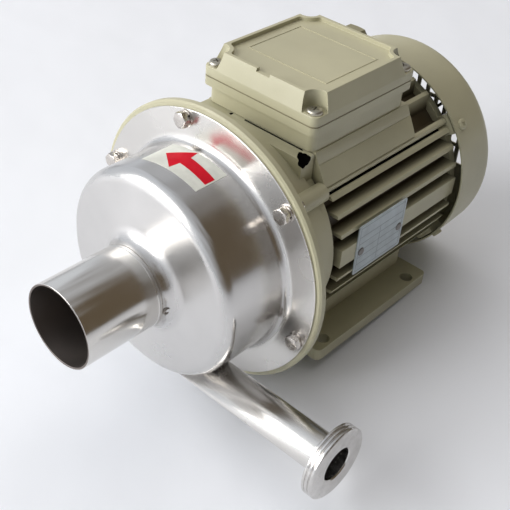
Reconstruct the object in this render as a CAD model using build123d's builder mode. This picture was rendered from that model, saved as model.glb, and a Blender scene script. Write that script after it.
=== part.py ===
from build123d import *
import math
import os

# Sanitary centrifugal pump, close-coupled to a foot and flange motor.
# Millimetres, Z up. The shaft is the Y axis and the suction mouth is at the origin, facing -Y.
# The discharge points to +X, the terminal box is on top.

# Clearances and small common sizes
GAP = 0.3               # between pieces that never touch
SEAT = 0.05             # radial play of located fits
ROOM = 2.0              # beside turning pieces, and past cuts
EDGE = 1.0              # broken edges and small steps

# Along the shaft
FLANGE_Y = 122.0        # suction mouth to the front face of the motor flange
DRUM_DEPTH = 53.5       # drum front ahead of the flange
NECK_REACH = 67.0       # end of the pulled neck ahead of the flange
FRAME_SETBACK = 40.0    # flange to the frame tube
FRAME_LENGTH = 146.0
CORE_SETBACK = 22.0     # frame front to the stator core
CORE_LENGTH = 88.0
COWL_REACH = 46.0       # cowl behind the frame

# Casing
SHEET = 1.5
DRUM_R = 73.5
BRIM_WIDTH = 22.9
ROOT_R = 6.0
CORNER_R = 9.0
NECK_FILLET = 10.0
SUCTION_R = 28.5
FRONT_DISH = 2.0        # how far the front rises towards the neck
BOLT_INSET = 6.1        # brim edge to the bolt circle
BOLT_COUNT = 6
FIRST_BOLT_ANGLE = 42.4

# Discharge
OUTLET_R = 13.0
OUTLET_WALL = 1.0
OUTLET_AHEAD = 37.8     # outlet axis ahead of the flange
OUTLET_START_X = 8.0
OUTLET_END_X = 154.0
UNION_R = 25.0
UNION_BORE_R = 11.5
UNION_LENGTH = 8.0
UNION_NECK_R = 14.0
UNION_NECK_LENGTH = 5.0

# Fasteners
M6_R = 3.0
M6_HOLE_R = 3.3
M6_FLATS = 10.0
M6_HEAD = 4.0
M5_R = 2.5
M5_HOLE_R = 2.75
M5_FLATS = 8.0
M5_HEAD = 3.5
M4_R = 2.0
M4_HOLE_R = 2.3
M4_HEAD_R = 4.0
M4_HEAD = 2.4
WASHER_T = 1.2
SPRING_WASHER_T = 1.4
CASING_BOLT_REACH = 12.0

# Back plate and seal
PLATE_LAND = 2.0        # plate edge to the bolt holes
PLATE_T = 3.5
BOSS_R = 24.0
BOSS_FRONT = 8.0
BOSS_BACK = 6.0
RING_INSET = 1.5        # plate edge to the casing ring
RING_WIDTH = 3.0
RING_T = 2.0
SEAT_RING_R = 16.9
SEAT_RING_BORE = 12.5
SEAT_RING_T = 7.5
SEAT_POCKET = 6.0
SLINGER_R = 20.0
SLINGER_T = 3.0
SEAL_RING_R = 16.0
SEAL_RING_T = 4.7
SPRING_R = 12.5
SPRING_WIRE = 1.6
SPRING_TURNS = 3

# Impeller
IMPELLER_ROOM = 11.5    # drum sheet to the blade tips
SHROUD_T = 3.0
HUB_R = 13.0
HUB_LENGTH = 22.0
BLADE_COUNT = 6
BLADE_T = 3.0
BLADE_HEIGHT = 25.5
BLADE_START_R = 20.0
BLADE_LAG = 86.0        # angle by which a blade's tip trails its root
BLADE_MIDDLE_LAG = 34.0
NUT_FLATS = 22.0
NUT_LENGTH = 14.0
NUT_HEX_T = 5.0
STUB_LENGTH = 6.5
KEY_WIDTH = 4.0
KEY_HEIGHT = 3.0
KEY_LENGTH = 14.0

# Shaft radii
STUB_R = 6.0
WET_SHAFT_R = 7.0
SEAL_SHAFT_R = 8.5
FRONT_SEAT_R = 10.0
SHOULDER_R = 12.5
ROTOR_SEAT_R = 13.0
REAR_SEAT_R = 8.5
FAN_SEAT_R = 7.5
SHAFT_TAIL = 4.0        # shaft behind the fan hub

# Bearings
FRONT_BEARING_R = 23.5
FRONT_BEARING_T = 14.0
FRONT_BEARING_SETBACK = 20.0
REAR_BEARING_R = 20.0
REAR_BEARING_T = 12.0
BEARING_LIP = 5.0
BEARING_SHIELD = 1.0
RING_SHARE = 0.3        # bearing ring thickness as a share of the bearing's radial section
PRELOAD_T = 1.0
PRELOAD_WIDTH = 2.7

# Frame, with the radii of the shields and the cowl that follow its tube
TUBE_R = 66.5
TUBE_WALL = 6.0
FIN_HEIGHT = 10.5
FIN_T = 2.6
FIN_START = 10.0
FIN_PITCH = 13.0
LOWER_FINS = 5
UPPER_FINS = 7
RIDGE_Z = 45.3
UPPER_FIN_Z = 21.2
PAD_SINK = 0.8          # nameplate pad inside the fin tips
PAD_Z = 4.0
PAD_HEIGHT = 14.0
SADDLE_HEIGHT = 7.5     # saddle above the tube
SADDLE_SPREAD = 11.0
SADDLE_DEPTH = 21.0
WINDOW_LENGTH = 24.0
WINDOW_WIDTH = 9.0
WINDOW_SETBACK = 9.0
TIE_STANDOFF = 8.5      # tube to the tie bolts' axes
TIE_ANGLE = 41.5

# Front shield
FLANGE_RIM = 3.6        # flange outside the brim
FLANGE_T = 6.0
CONE_DEPTH = 16.0
CONE_STEP = 3.0
SHIELD_STEP = 9.5
SKIRT_STEP = 6.5
SKIRT_LAP = 6.0
WEB_T = 5.0
HUB_OUTER_R = 30.0
BOSS_TIE_R = 6.5
CAVITY_STEP = 1.5
TOP_PAD_DROP = 0.5
TOP_PAD_T = 12.0

# Feet
FOOT_SETBACK = 5.0      # frame front to the feet
FOOT_HEIGHT = 25.0      # sole to the frame's pads
FOOT_T = 9.5
FOOT_EDGE_X = 73.5
FOOT_INNER_X = 34.0
FOOT_LENGTH = 134.5
FOOT_HOLE_R = 5.0
FOOT_HOLE_X = 66.0
FOOT_HOLE_SETBACK = 65.5
FOOT_HOLE_PITCH = 104.0
FOOT_PAD_RISE = 4.5     # pads inside the tube's lowest line
FOOT_PAD_X = 43.0
FOOT_PAD_WIDTH = 14.0
FOOT_PAD_LENGTH = 120.0
FOOT_SCREW_PITCH = 84.0
FOOT_SCREW_HEAD_R = 5.0
FOOT_SCREW_HEAD = 6.0
FOOT_SCREW_REACH = 10.0
FOOT_CORNER_R = 4.0

# Stator and rotor
ROTOR_R = 37.0
AIR_GAP = 0.4
SLOT_COUNT = 24
SLOT_WIDTH = 2.5
SLOT_DEPTH = 3.0
WINDING_STEP = 4.6      # stator bore to the winding
WINDING_ROOM = 3.5      # winding to the frame
WINDING_REACH = 12.0
CAGE_STEP = 2.0
CAGE_INNER_R = 24.0
CAGE_T = 6.0

# Rear shield, fan and cowl
REAR_SHIELD_T = 6.0
REAR_SHIELD_STEP = 5.5
REAR_HUB_R = 25.0
EAR_STEP = 0.5
EAR_REACH = 14.0
EAR_WIDTH = 15.0
COWL_ROOM = 5.6         # fin tips to the cowl
COWL_DRAFT = 1.1
COWL_CORNER_R = 12.0
COWL_WALL = 1.2
COWL_SCREW_SETBACK = 8.6
COWL_SCREW_ANGLE = 36.0
GRILLE_PITCH_X = 9.0
GRILLE_PITCH_Z = 16.0
GRILLE_SLOT_X = 5.5
GRILLE_SLOT_Z = 13.0
FAN_ROOM = 8.0          # ears to the fan
FAN_HUB_R = 14.0
FAN_DISC_T = 2.5
FAN_BLADES = 7
FAN_BLADE_T = 2.2
FAN_BLADE_DEPTH = 15.0
FAN_HUB_LENGTH = 14.0
CLIP_T = 1.0
CLIP_WIDTH = 3.0

# Terminal box
BOX_HALF_X = 46.0
BOX_HALF_Y = 49.0
BOX_WALL = 3.5
BOX_CORNER_R = 5.0
BASE_HEIGHT = 19.0
LIP_STEP_X = 2.5
LIP_STEP_Y = 4.0
LIP_T = 6.0
GASKET_T = 1.0
LID_SKIRT = 5.5
LID_HEIGHT = 18.3
LID_TAPER = 20.0
LID_WALL = 4.5
LID_CEILING = 3.0
PANEL_DEPTH = 2.8
RIM_WIDTH = 2.8
LID_SCREW_INSET = 6.5
LID_SCREW_REACH = 13.0
SCOOP_R = 8.0
PAN_HEAD_R = 5.2
PAN_HEAD = 3.0
BOX_SCREW_PITCH_X = 56.0
BOX_SCREW_PITCH_Y = 70.0
BOX_SCREW_REACH = 9.0
BLOCK_LENGTH = 50.0
BLOCK_WIDTH = 34.0
BLOCK_HEIGHT = 10.0
STUD_PITCH_X = 16.0
STUD_PITCH_Y = 18.0
NOTCH_WIDTH = 11.0
NOTCH_DEPTH = 2.0
GLAND_X = -24.0
GLAND_HEIGHT = 11.5
GLAND_FLATS = 23.0
GLAND_BORE_R = 4.0
GLAND_THREAD_R = 6.0
GLAND_HEX_T = 6.0
GLAND_NUT_LENGTH = 30.0

# Plates
NAMEPLATE_LENGTH = 54.0
NAMEPLATE_HEIGHT = 40.0
NAMEPLATE_T = 0.8
NAMEPLATE_SETBACK = 53.0
NAMEPLATE_Z = 3.0
RIVET_HALF = 21.7
RIVET_R = 1.5
RIVET_Z = 1.0
RIVET_REACH = 5.0
LABEL_HALF_ANGLE = 18.8
LABEL_ANGLE = 90.0
LABEL_LENGTH = 26.5
LABEL_AHEAD = 21.6
LABEL_T = 0.2

# Radii and half widths that follow from these
BRIM_R = DRUM_R + BRIM_WIDTH
BOLT_CIRCLE_R = BRIM_R - BOLT_INSET
PLATE_R = BOLT_CIRCLE_R - M6_HOLE_R - PLATE_LAND
RING_OUTER_R = PLATE_R - RING_INSET
RING_INNER_R = RING_OUTER_R - RING_WIDTH
FLANGE_R = BRIM_R + FLANGE_RIM
IMPELLER_R = DRUM_R - IMPELLER_ROOM
BORE_R = TUBE_R - TUBE_WALL
FIN_TIP_R = TUBE_R + FIN_HEIGHT
PAD_FACE_X = FIN_TIP_R - PAD_SINK
TIE_CIRCLE_R = TUBE_R + TIE_STANDOFF
SHIELD_R = TUBE_R + SHIELD_STEP
SKIRT_R = TUBE_R + SKIRT_STEP
CAVITY_R = TUBE_R + CAVITY_STEP
REAR_SHIELD_R = TUBE_R + REAR_SHIELD_STEP
EAR_INNER_R = TUBE_R + EAR_STEP
COWL_R = FIN_TIP_R + COWL_ROOM
COWL_BACK_R = COWL_R - COWL_DRAFT
FAN_R = EAR_INNER_R - FAN_ROOM
STATOR_BORE_R = ROTOR_R + AIR_GAP
SADDLE_HALF = BOX_HALF_X + EDGE
LIP_HALF_X = BOX_HALF_X + LIP_STEP_X
LIP_HALF_Y = BOX_HALF_Y + LIP_STEP_Y
LID_SCREW_X = LIP_HALF_X - LID_SCREW_INSET
LID_SCREW_HALF_Y = LIP_HALF_Y - LID_SCREW_INSET
GLAND_SEAT = LIP_HALF_Y + EDGE

# Heights that follow from these
OUTLET_Z = OUTLET_R - DRUM_R
FOOT_PAD_Z = FOOT_PAD_RISE - TUBE_R
FOOT_Z = FOOT_PAD_Z - FOOT_HEIGHT
SADDLE_TOP = TUBE_R + SADDLE_HEIGHT
TOP_PAD_Z = SADDLE_TOP - TOP_PAD_DROP
BASE_TOP = SADDLE_TOP + BASE_HEIGHT
LID_Z = BASE_TOP + GASKET_T
LID_EDGE_Z = LID_Z + LID_SKIRT
LID_TOP = LID_Z + LID_HEIGHT
SCOOP_Z = LID_EDGE_Z + EDGE
GLAND_Z = SADDLE_TOP + GLAND_HEIGHT

# Stations that follow from these
DRUM_FRONT = FLANGE_Y - DRUM_DEPTH
NECK_END = FLANGE_Y - NECK_REACH
BRIM_FACE = FLANGE_Y - SHEET
OUTLET_Y = FLANGE_Y - OUTLET_AHEAD
HUB_FRONT = FLANGE_Y - 2 * HUB_LENGTH
HUB_BACK = FLANGE_Y - HUB_LENGTH
SHROUD_FRONT = HUB_BACK - SHROUD_T
SLINGER_Y = FLANGE_Y + BOSS_BACK + ROOM
SEAL_SHAFT_END = SLINGER_Y + SLINGER_T + EDGE
FRONT_BEARING_Y = FLANGE_Y + FRONT_BEARING_SETBACK
WEB_Y = FRONT_BEARING_Y - WEB_T - ROOM
CONE_END = FLANGE_Y + CONE_DEPTH
FRAME_Y = FLANGE_Y + FRAME_SETBACK
FRAME_END = FRAME_Y + FRAME_LENGTH
SKIRT_END = FRAME_Y + SKIRT_LAP
CORE_Y = FRAME_Y + CORE_SETBACK
CORE_END = CORE_Y + CORE_LENGTH
REAR_BEARING_Y = FRAME_END - REAR_BEARING_T - ROOM
EAR_END = FRAME_END + EAR_REACH
FAN_Y = EAR_END
SHAFT_END = FAN_Y + FAN_HUB_LENGTH + SHAFT_TAIL
COWL_SCREW_Y = FRAME_END + COWL_SCREW_SETBACK
COWL_END = FRAME_END + COWL_REACH
FOOT_Y = FRAME_Y + FOOT_SETBACK
FOOT_HOLE_Y = FOOT_Y + FOOT_HOLE_SETBACK
FRAME_PAD_Y = FOOT_Y + FOOT_LENGTH / 2
SADDLE_Y = SKIRT_END + EDGE
WINDOW_Y = SADDLE_Y + WINDOW_SETBACK
BOX_Y = SADDLE_Y + BOX_HALF_Y - ROOM
SADDLE_END = BOX_Y + LIP_HALF_Y
NAMEPLATE_Y = FRAME_Y + NAMEPLATE_SETBACK


def across(y):
    """Plane across the shaft at y: X to the right, Z up, so positive depths run to -Y."""
    return Plane.XZ.offset(-y)


def ring_profile(inner, outer, start, end):
    """Rectangle to turn about the shaft, from radius inner to outer and from start to end along Y."""
    with Locations(((inner + outer) / 2, (start + end) / 2)):
        Rectangle(outer - inner, end - start)


def around(radius, angle):
    """X and Z of a point at a radius and an angle from +X towards +Z."""
    return radius * math.cos(math.radians(angle)), radius * math.sin(math.radians(angle))


def corners(x, z):
    """The four points that mirror one point in X and Z."""
    return [(x, z), (-x, z), (-x, -z), (x, -z)]


def tie_points():
    """X and Z of the four tie bolts."""
    return corners(*around(TIE_CIRCLE_R, TIE_ANGLE))


def cowl_screw_planes():
    """Planes across the four cowl screws, at the inner radius of the ears and facing outwards."""
    for x, z in corners(*around(1, COWL_SCREW_ANGLE)):
        yield Plane(origin=(0, COWL_SCREW_Y, 0), x_dir=(0, 1, 0), z_dir=(x, 0, z)).offset(EAR_INNER_R)


os.makedirs("parts", exist_ok=True)

# Casing: spun sheet hat with a bolting brim and a pulled neck
with BuildPart() as drum_envelope:
    with BuildSketch(Plane.XY):
        with BuildLine():
            hat = Polyline(
                (0, FLANGE_Y - SHEET),
                (DRUM_R, FLANGE_Y - SHEET),
                (DRUM_R, DRUM_FRONT),
                (SUCTION_R, DRUM_FRONT - FRONT_DISH),
                (0, DRUM_FRONT - FRONT_DISH),
                close=True,
            )
            fillet(hat.vertices().sort_by(Axis.X)[-2:].sort_by(Axis.Y)[:1], CORNER_R)
        make_face()
    revolve(axis=Axis.Y)

with BuildPart() as casing:
    with BuildSketch(Plane.XY):
        with BuildLine():
            skin = Polyline(
                (SUCTION_R, NECK_END),
                (SUCTION_R, DRUM_FRONT - FRONT_DISH),
                (DRUM_R, DRUM_FRONT),
                (DRUM_R, FLANGE_Y - SHEET),
                (BRIM_R, FLANGE_Y - SHEET),
            )
            bends = skin.vertices().sort_by(Axis.Y)
            fillet(bends[1], NECK_FILLET)
            fillet(bends[2], CORNER_R)
            fillet(bends[3:].sort_by(Axis.X)[0], ROOT_R)
            offset(amount=SHEET, side=Side.LEFT, mode=Mode.ADD)
        make_face()
    revolve(axis=Axis.Y)
    with BuildSketch(Plane.YZ.offset(OUTLET_START_X)):
        with Locations((OUTLET_Y, OUTLET_Z)):
            Circle(OUTLET_R - OUTLET_WALL)
    extrude(amount=DRUM_R, mode=Mode.SUBTRACT)
    with BuildSketch(across(FLANGE_Y)):
        with PolarLocations(BOLT_CIRCLE_R, BOLT_COUNT, start_angle=FIRST_BOLT_ANGLE):
            Circle(M6_HOLE_R)
    extrude(amount=2 * SHEET, both=True, mode=Mode.SUBTRACT)
casing.part.label = "casing"
export_step(casing.part, "parts/casing.step")

# Suction tube, welded to the neck
with BuildPart() as suction_tube:
    with BuildSketch(Plane.XY):
        ring_profile(SUCTION_R - SHEET, SUCTION_R, 0, NECK_END)
    revolve(axis=Axis.Y)
    chamfer(suction_tube.edges().group_by(Axis.Y)[0], SHEET / 5)
suction_tube.part.label = "suction_tube"
export_step(suction_tube.part, "parts/suction_tube.step")

# Discharge tube, leaving the drum as a tangent and coped to it
UNION_BACK_X = OUTLET_END_X - UNION_LENGTH - UNION_NECK_LENGTH
with BuildPart() as discharge_tube:
    with BuildSketch(Plane.YZ.offset(OUTLET_START_X)):
        with Locations((OUTLET_Y, OUTLET_Z)):
            Circle(OUTLET_R)
            Circle(OUTLET_R - OUTLET_WALL, mode=Mode.SUBTRACT)
    extrude(amount=UNION_BACK_X - OUTLET_START_X)
    add(drum_envelope.part, mode=Mode.SUBTRACT)
discharge_tube.part.label = "discharge_tube"
export_step(discharge_tube.part, "parts/discharge_tube.step")

# Discharge union: neck, shoulder and the cylinder that carries the round thread
UNION_SHOULDER_X = UNION_BACK_X + UNION_NECK_LENGTH
with BuildPart() as discharge_union:
    with BuildSketch(Plane((0, OUTLET_Y, OUTLET_Z))):
        with BuildLine():
            Polyline(
                (UNION_BACK_X, UNION_BORE_R),
                (UNION_BACK_X, OUTLET_R),
                (UNION_SHOULDER_X, UNION_NECK_R),
                (UNION_SHOULDER_X, UNION_R),
                (OUTLET_END_X, UNION_R),
                (OUTLET_END_X, UNION_BORE_R),
                close=True,
            )
        make_face()
    revolve(axis=Axis((0, OUTLET_Y, OUTLET_Z), (1, 0, 0)))
    rims = discharge_union.edges().filter_by(GeomType.CIRCLE)
    chamfer(rims.filter_by(lambda rim: rim.radius > UNION_R - GAP), OUTLET_WALL)
discharge_union.part.label = "discharge_union"
export_step(discharge_union.part, "parts/discharge_union.step")

# Back plate: disc in the flange recess with the seal boss and the ring groove
SEAL_FRONT = FLANGE_Y - BOSS_FRONT
PLATE_BORE = SEAL_SHAFT_R + ROOM
with BuildPart() as back_plate:
    with BuildSketch(Plane.XY):
        ring_profile(PLATE_BORE, PLATE_R, FLANGE_Y, FLANGE_Y + PLATE_T)
        ring_profile(PLATE_BORE, BOSS_R, SEAL_FRONT, FLANGE_Y + BOSS_BACK)
    revolve(axis=Axis.Y)
    with BuildSketch(Plane.XY):
        ring_profile(0, SEAT_RING_R + SEAT, SEAL_FRONT, SEAL_FRONT + SEAT_POCKET)
        ring_profile(RING_INNER_R - SEAT, RING_OUTER_R + SEAT, FLANGE_Y, FLANGE_Y + RING_T)
    revolve(axis=Axis.Y, mode=Mode.SUBTRACT)
back_plate.part.label = "back_plate"
export_step(back_plate.part, "parts/back_plate.step")

# Casing ring, pressed into its groove by the brim
with BuildPart() as casing_ring:
    with BuildSketch(Plane.XY):
        ring_profile(RING_INNER_R, RING_OUTER_R, FLANGE_Y, FLANGE_Y + RING_T)
    revolve(axis=Axis.Y)
casing_ring.part.label = "casing_ring"
export_step(casing_ring.part, "parts/casing_ring.step")

# Shaft seal: stationary ring, turning ring and the spring behind it
SEAT_RING_FRONT = SEAL_FRONT + SEAT_POCKET - SEAT_RING_T
with BuildPart() as seal_seat:
    with BuildSketch(Plane.XY):
        ring_profile(SEAT_RING_BORE, SEAT_RING_R, SEAT_RING_FRONT, SEAT_RING_FRONT + SEAT_RING_T)
    revolve(axis=Axis.Y)
seal_seat.part.label = "seal_seat"
export_step(seal_seat.part, "parts/seal_seat.step")

SEAL_RING_BACK = SEAT_RING_FRONT - GAP
SEAL_RING_FRONT = SEAL_RING_BACK - SEAL_RING_T
with BuildPart() as seal_ring:
    with BuildSketch(Plane.XY):
        ring_profile(SEAL_SHAFT_R, SEAL_RING_R, SEAL_RING_FRONT, SEAL_RING_BACK)
    revolve(axis=Axis.Y)
seal_ring.part.label = "seal_ring"
export_step(seal_ring.part, "parts/seal_ring.step")

SPRING_LENGTH = SEAL_RING_FRONT - HUB_BACK - SPRING_WIRE
with BuildPart() as seal_spring:
    with BuildLine():
        coil = Helix(
            pitch=SPRING_LENGTH / SPRING_TURNS,
            height=SPRING_LENGTH,
            radius=SPRING_R,
            center=(0, HUB_BACK + SPRING_WIRE / 2, 0),
            direction=(0, 1, 0),
        )
    with BuildSketch(Plane(origin=coil @ 0, x_dir=(0, 1, 0), z_dir=coil % 0)):
        Rectangle(SPRING_WIRE, SPRING_WIRE)
    sweep(path=coil, is_frenet=True)
seal_spring.part.label = "seal_spring"
export_step(seal_spring.part, "parts/seal_spring.step")

# Casing bolts with their spring and flat washers
with BuildPart() as casing_washers:
    with BuildSketch(across(BRIM_FACE)):
        with PolarLocations(BOLT_CIRCLE_R, BOLT_COUNT, start_angle=FIRST_BOLT_ANGLE):
            Circle(2 * M6_R)
            Circle(M6_HOLE_R, mode=Mode.SUBTRACT)
    extrude(amount=WASHER_T)
casing_washers.part.label = "casing_washers"
export_step(casing_washers.part, "parts/casing_washers.step")

with BuildPart() as casing_spring_washers:
    with BuildSketch(across(BRIM_FACE - WASHER_T)):
        with PolarLocations(BOLT_CIRCLE_R, BOLT_COUNT, start_angle=FIRST_BOLT_ANGLE):
            Circle(M6_FLATS / 2)
            Circle(M6_HOLE_R, mode=Mode.SUBTRACT)
    extrude(amount=SPRING_WASHER_T)
casing_spring_washers.part.label = "casing_spring_washers"
export_step(casing_spring_washers.part, "parts/casing_spring_washers.step")

CASING_BOLT_HEAD = BRIM_FACE - WASHER_T - SPRING_WASHER_T
with BuildPart() as casing_bolts:
    with BuildSketch(across(CASING_BOLT_HEAD)):
        with PolarLocations(BOLT_CIRCLE_R, BOLT_COUNT, start_angle=FIRST_BOLT_ANGLE):
            RegularPolygon(M6_FLATS / 2, 6, major_radius=False)
    extrude(amount=M6_HEAD)
    with BuildSketch(across(CASING_BOLT_HEAD)):
        with PolarLocations(BOLT_CIRCLE_R, BOLT_COUNT, start_angle=FIRST_BOLT_ANGLE):
            Circle(M6_R)
    extrude(amount=CASING_BOLT_HEAD - FLANGE_Y - CASING_BOLT_REACH)
casing_bolts.part.label = "casing_bolts"
export_step(casing_bolts.part, "parts/casing_bolts.step")

# Direction label, wrapped on the drum
with BuildPart() as direction_label:
    with BuildSketch(across(FLANGE_Y - LABEL_AHEAD - LABEL_LENGTH / 2)):
        with BuildLine():
            Polyline(
                (0, 0),
                around(2 * DRUM_R, LABEL_ANGLE - LABEL_HALF_ANGLE),
                around(2 * DRUM_R, LABEL_ANGLE + LABEL_HALF_ANGLE),
                close=True,
            )
        make_face()
        Circle(DRUM_R + SEAT + LABEL_T, mode=Mode.INTERSECT)
        Circle(DRUM_R + SEAT, mode=Mode.SUBTRACT)
    extrude(amount=-LABEL_LENGTH)
direction_label.part.label = "direction_label"
export_step(direction_label.part, "parts/direction_label.step")

# Impeller: back shroud, hub and curved blades that lag behind the turning sense
with BuildPart() as impeller:
    with BuildSketch(Plane.XY):
        ring_profile(WET_SHAFT_R, IMPELLER_R, SHROUD_FRONT, HUB_BACK)
        ring_profile(WET_SHAFT_R, HUB_R, HUB_FRONT, HUB_BACK)
    revolve(axis=Axis.Y)
    fillet(impeller.edges().filter_by(GeomType.CIRCLE).group_by(Axis.Y)[0].sort_by(SortBy.RADIUS)[-1], SHROUD_T / 2)
    with BuildSketch(across(SHROUD_FRONT)):
        with BuildSketch(mode=Mode.PRIVATE) as blade:
            with BuildLine():
                ThreePointArc(
                    around(BLADE_START_R, 0),
                    around((BLADE_START_R + IMPELLER_R) / 2, -BLADE_MIDDLE_LAG),
                    around(IMPELLER_R + BLADE_T, -BLADE_LAG),
                )
            trace(line_width=BLADE_T)
            Circle(IMPELLER_R, mode=Mode.INTERSECT)
        with PolarLocations(0, BLADE_COUNT):
            add(blade.sketch)
    extrude(amount=BLADE_HEIGHT)
    with BuildSketch(across(HUB_BACK)):
        with PolarLocations(HUB_R + 2 * BLADE_T, BLADE_COUNT, start_angle=180 / BLADE_COUNT):
            Circle(BLADE_T)
    extrude(amount=SHROUD_T, mode=Mode.SUBTRACT)
    with BuildSketch(across(HUB_BACK)):
        with Locations((0, WET_SHAFT_R)):
            Rectangle(KEY_WIDTH, KEY_HEIGHT)
    extrude(amount=HUB_LENGTH, mode=Mode.SUBTRACT)
impeller.part.label = "impeller"
export_step(impeller.part, "parts/impeller.step")

KEY_START = HUB_BACK - (HUB_LENGTH + KEY_LENGTH) / 2
with BuildPart() as impeller_key:
    with BuildSketch(across(KEY_START + KEY_LENGTH)):
        with Locations((0, WET_SHAFT_R)):
            Rectangle(KEY_WIDTH, KEY_HEIGHT)
    extrude(amount=KEY_LENGTH)
impeller_key.part.label = "impeller_key"
export_step(impeller_key.part, "parts/impeller_key.step")

NUT_TIP = HUB_FRONT - NUT_LENGTH
with BuildPart() as impeller_nut:
    with BuildSketch(across(HUB_FRONT)):
        RegularPolygon(NUT_FLATS / 2, 6, major_radius=False)
    extrude(amount=NUT_LENGTH)
    with BuildSketch(Plane.XY):
        with BuildLine():
            Polyline((NUT_LENGTH, HUB_FRONT - NUT_HEX_T), (NUT_LENGTH, HUB_FRONT), (0, HUB_FRONT), (0, NUT_TIP))
            ThreePointArc((0, NUT_TIP), (NUT_LENGTH * 2 / 3, NUT_TIP + SHROUD_T), (NUT_LENGTH, HUB_FRONT - NUT_HEX_T))
        make_face()
    revolve(axis=Axis.Y, mode=Mode.INTERSECT)
    with BuildSketch(across(HUB_FRONT)):
        Circle(STUB_R)
    extrude(amount=STUB_LENGTH, mode=Mode.SUBTRACT)
impeller_nut.part.label = "impeller_nut"
export_step(impeller_nut.part, "parts/impeller_nut.step")

# Shaft: one turned bar, thin at the impeller nut and thick under the rotor
with BuildPart() as shaft:
    with BuildSketch(Plane.XY):
        ring_profile(0, STUB_R, HUB_FRONT - STUB_LENGTH, HUB_FRONT)
        ring_profile(0, WET_SHAFT_R, HUB_FRONT, HUB_BACK)
        ring_profile(0, SEAL_SHAFT_R, HUB_BACK, SEAL_SHAFT_END)
        ring_profile(0, FRONT_SEAT_R, SEAL_SHAFT_END, FRONT_BEARING_Y + FRONT_BEARING_T)
        ring_profile(0, SHOULDER_R, FRONT_BEARING_Y + FRONT_BEARING_T, CORE_Y)
        ring_profile(0, ROTOR_SEAT_R, CORE_Y, CORE_END)
        ring_profile(0, FRONT_SEAT_R, CORE_END, REAR_BEARING_Y)
        ring_profile(0, REAR_SEAT_R, REAR_BEARING_Y, REAR_BEARING_Y + REAR_BEARING_T)
        ring_profile(0, FAN_SEAT_R, REAR_BEARING_Y + REAR_BEARING_T, SHAFT_END)
    revolve(axis=Axis.Y)
    chamfer(shaft.edges().group_by(Axis.Y)[0], EDGE)
    chamfer(shaft.edges().group_by(Axis.Y)[-1], EDGE)
    with BuildSketch(across(KEY_START + KEY_LENGTH)):
        with Locations((0, WET_SHAFT_R)):
            Rectangle(KEY_WIDTH, KEY_HEIGHT)
    extrude(amount=KEY_LENGTH, mode=Mode.SUBTRACT)
shaft.part.label = "shaft"
export_step(shaft.part, "parts/shaft.step")

# Slinger: rubber disc that throws leaked drops off the shaft
with BuildPart() as slinger:
    with BuildSketch(Plane.XY):
        ring_profile(SEAL_SHAFT_R, SLINGER_R, SLINGER_Y, SLINGER_Y + SLINGER_T)
    revolve(axis=Axis.Y)
slinger.part.label = "slinger"
export_step(slinger.part, "parts/slinger.step")

# Front shield: flange, cone, skirt round the frame end, tie bolt bosses and bearing hub
HUB_END = FRONT_BEARING_Y + FRONT_BEARING_T + ROOM
BOSS_START = CONE_END - CONE_STEP
with BuildPart() as front_shield:
    with BuildSketch(Plane.XY):
        with BuildLine():
            Polyline(
                (FRONT_SEAT_R + GAP, WEB_Y),
                (CAVITY_R, WEB_Y),
                (CAVITY_R, FLANGE_Y + PLATE_T),
                (PLATE_R + SEAT, FLANGE_Y + PLATE_T),
                (PLATE_R + SEAT, FLANGE_Y),
                (FLANGE_R, FLANGE_Y),
                (FLANGE_R, FLANGE_Y + FLANGE_T),
                (FLANGE_R - FLANGE_T / 2, FLANGE_Y + FLANGE_T),
                (SHIELD_R + CONE_STEP, CONE_END),
                (SHIELD_R, CONE_END + CONE_STEP),
                (SHIELD_R, FRAME_Y - ROOM),
                (SKIRT_R, FRAME_Y - ROOM),
                (SKIRT_R, SKIRT_END),
                (TUBE_R + SEAT, SKIRT_END),
                (TUBE_R + SEAT, FRAME_Y),
                (BORE_R, FRAME_Y),
                (BORE_R, HUB_END),
                (CAVITY_R, WEB_Y + 3 * WEB_T),
                (CAVITY_R, WEB_Y + WEB_T),
                (HUB_OUTER_R, WEB_Y + WEB_T),
                (HUB_OUTER_R, HUB_END),
                (FRONT_BEARING_R + SEAT, HUB_END),
                (FRONT_BEARING_R + SEAT, FRONT_BEARING_Y),
                (FRONT_BEARING_R - BEARING_LIP, FRONT_BEARING_Y),
                (FRONT_BEARING_R - BEARING_LIP, WEB_Y + WEB_T),
                (FRONT_SEAT_R + GAP, WEB_Y + WEB_T),
                close=True,
            )
        make_face()
    revolve(axis=Axis.Y)
    rims = front_shield.edges().filter_by(GeomType.CIRCLE)
    chamfer(rims.filter_by(lambda rim: rim.radius > FLANGE_R - GAP), FLANGE_T / 5)
    with BuildSketch(across(BOSS_START)):
        with Locations(*tie_points()):
            Circle(BOSS_TIE_R)
    extrude(amount=BOSS_START - SKIRT_END)
    with BuildSketch(across(SKIRT_END)):
        with Locations((0, TOP_PAD_Z - TOP_PAD_T / 2)):
            Rectangle(2 * SADDLE_HALF, TOP_PAD_T)
        with Locations((0, TOP_PAD_Z - TOP_PAD_T)):
            Rectangle(2 * SADDLE_HALF, TOP_PAD_T)
        Circle(TUBE_R + SEAT, mode=Mode.SUBTRACT)
    extrude(amount=TOP_PAD_T)
    with BuildSketch(across(FLANGE_Y)):
        with PolarLocations(BOLT_CIRCLE_R, BOLT_COUNT, start_angle=FIRST_BOLT_ANGLE):
            Circle(M6_R + SEAT)
    extrude(amount=-2 * FLANGE_T - SHEET, mode=Mode.SUBTRACT)
    with BuildSketch(across(SKIRT_END)):
        with Locations(*tie_points()):
            Circle(M5_R + SEAT)
    extrude(amount=2 * TOP_PAD_T, mode=Mode.SUBTRACT)
front_shield.part.label = "front_shield"
export_step(front_shield.part, "parts/front_shield.step")

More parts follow.
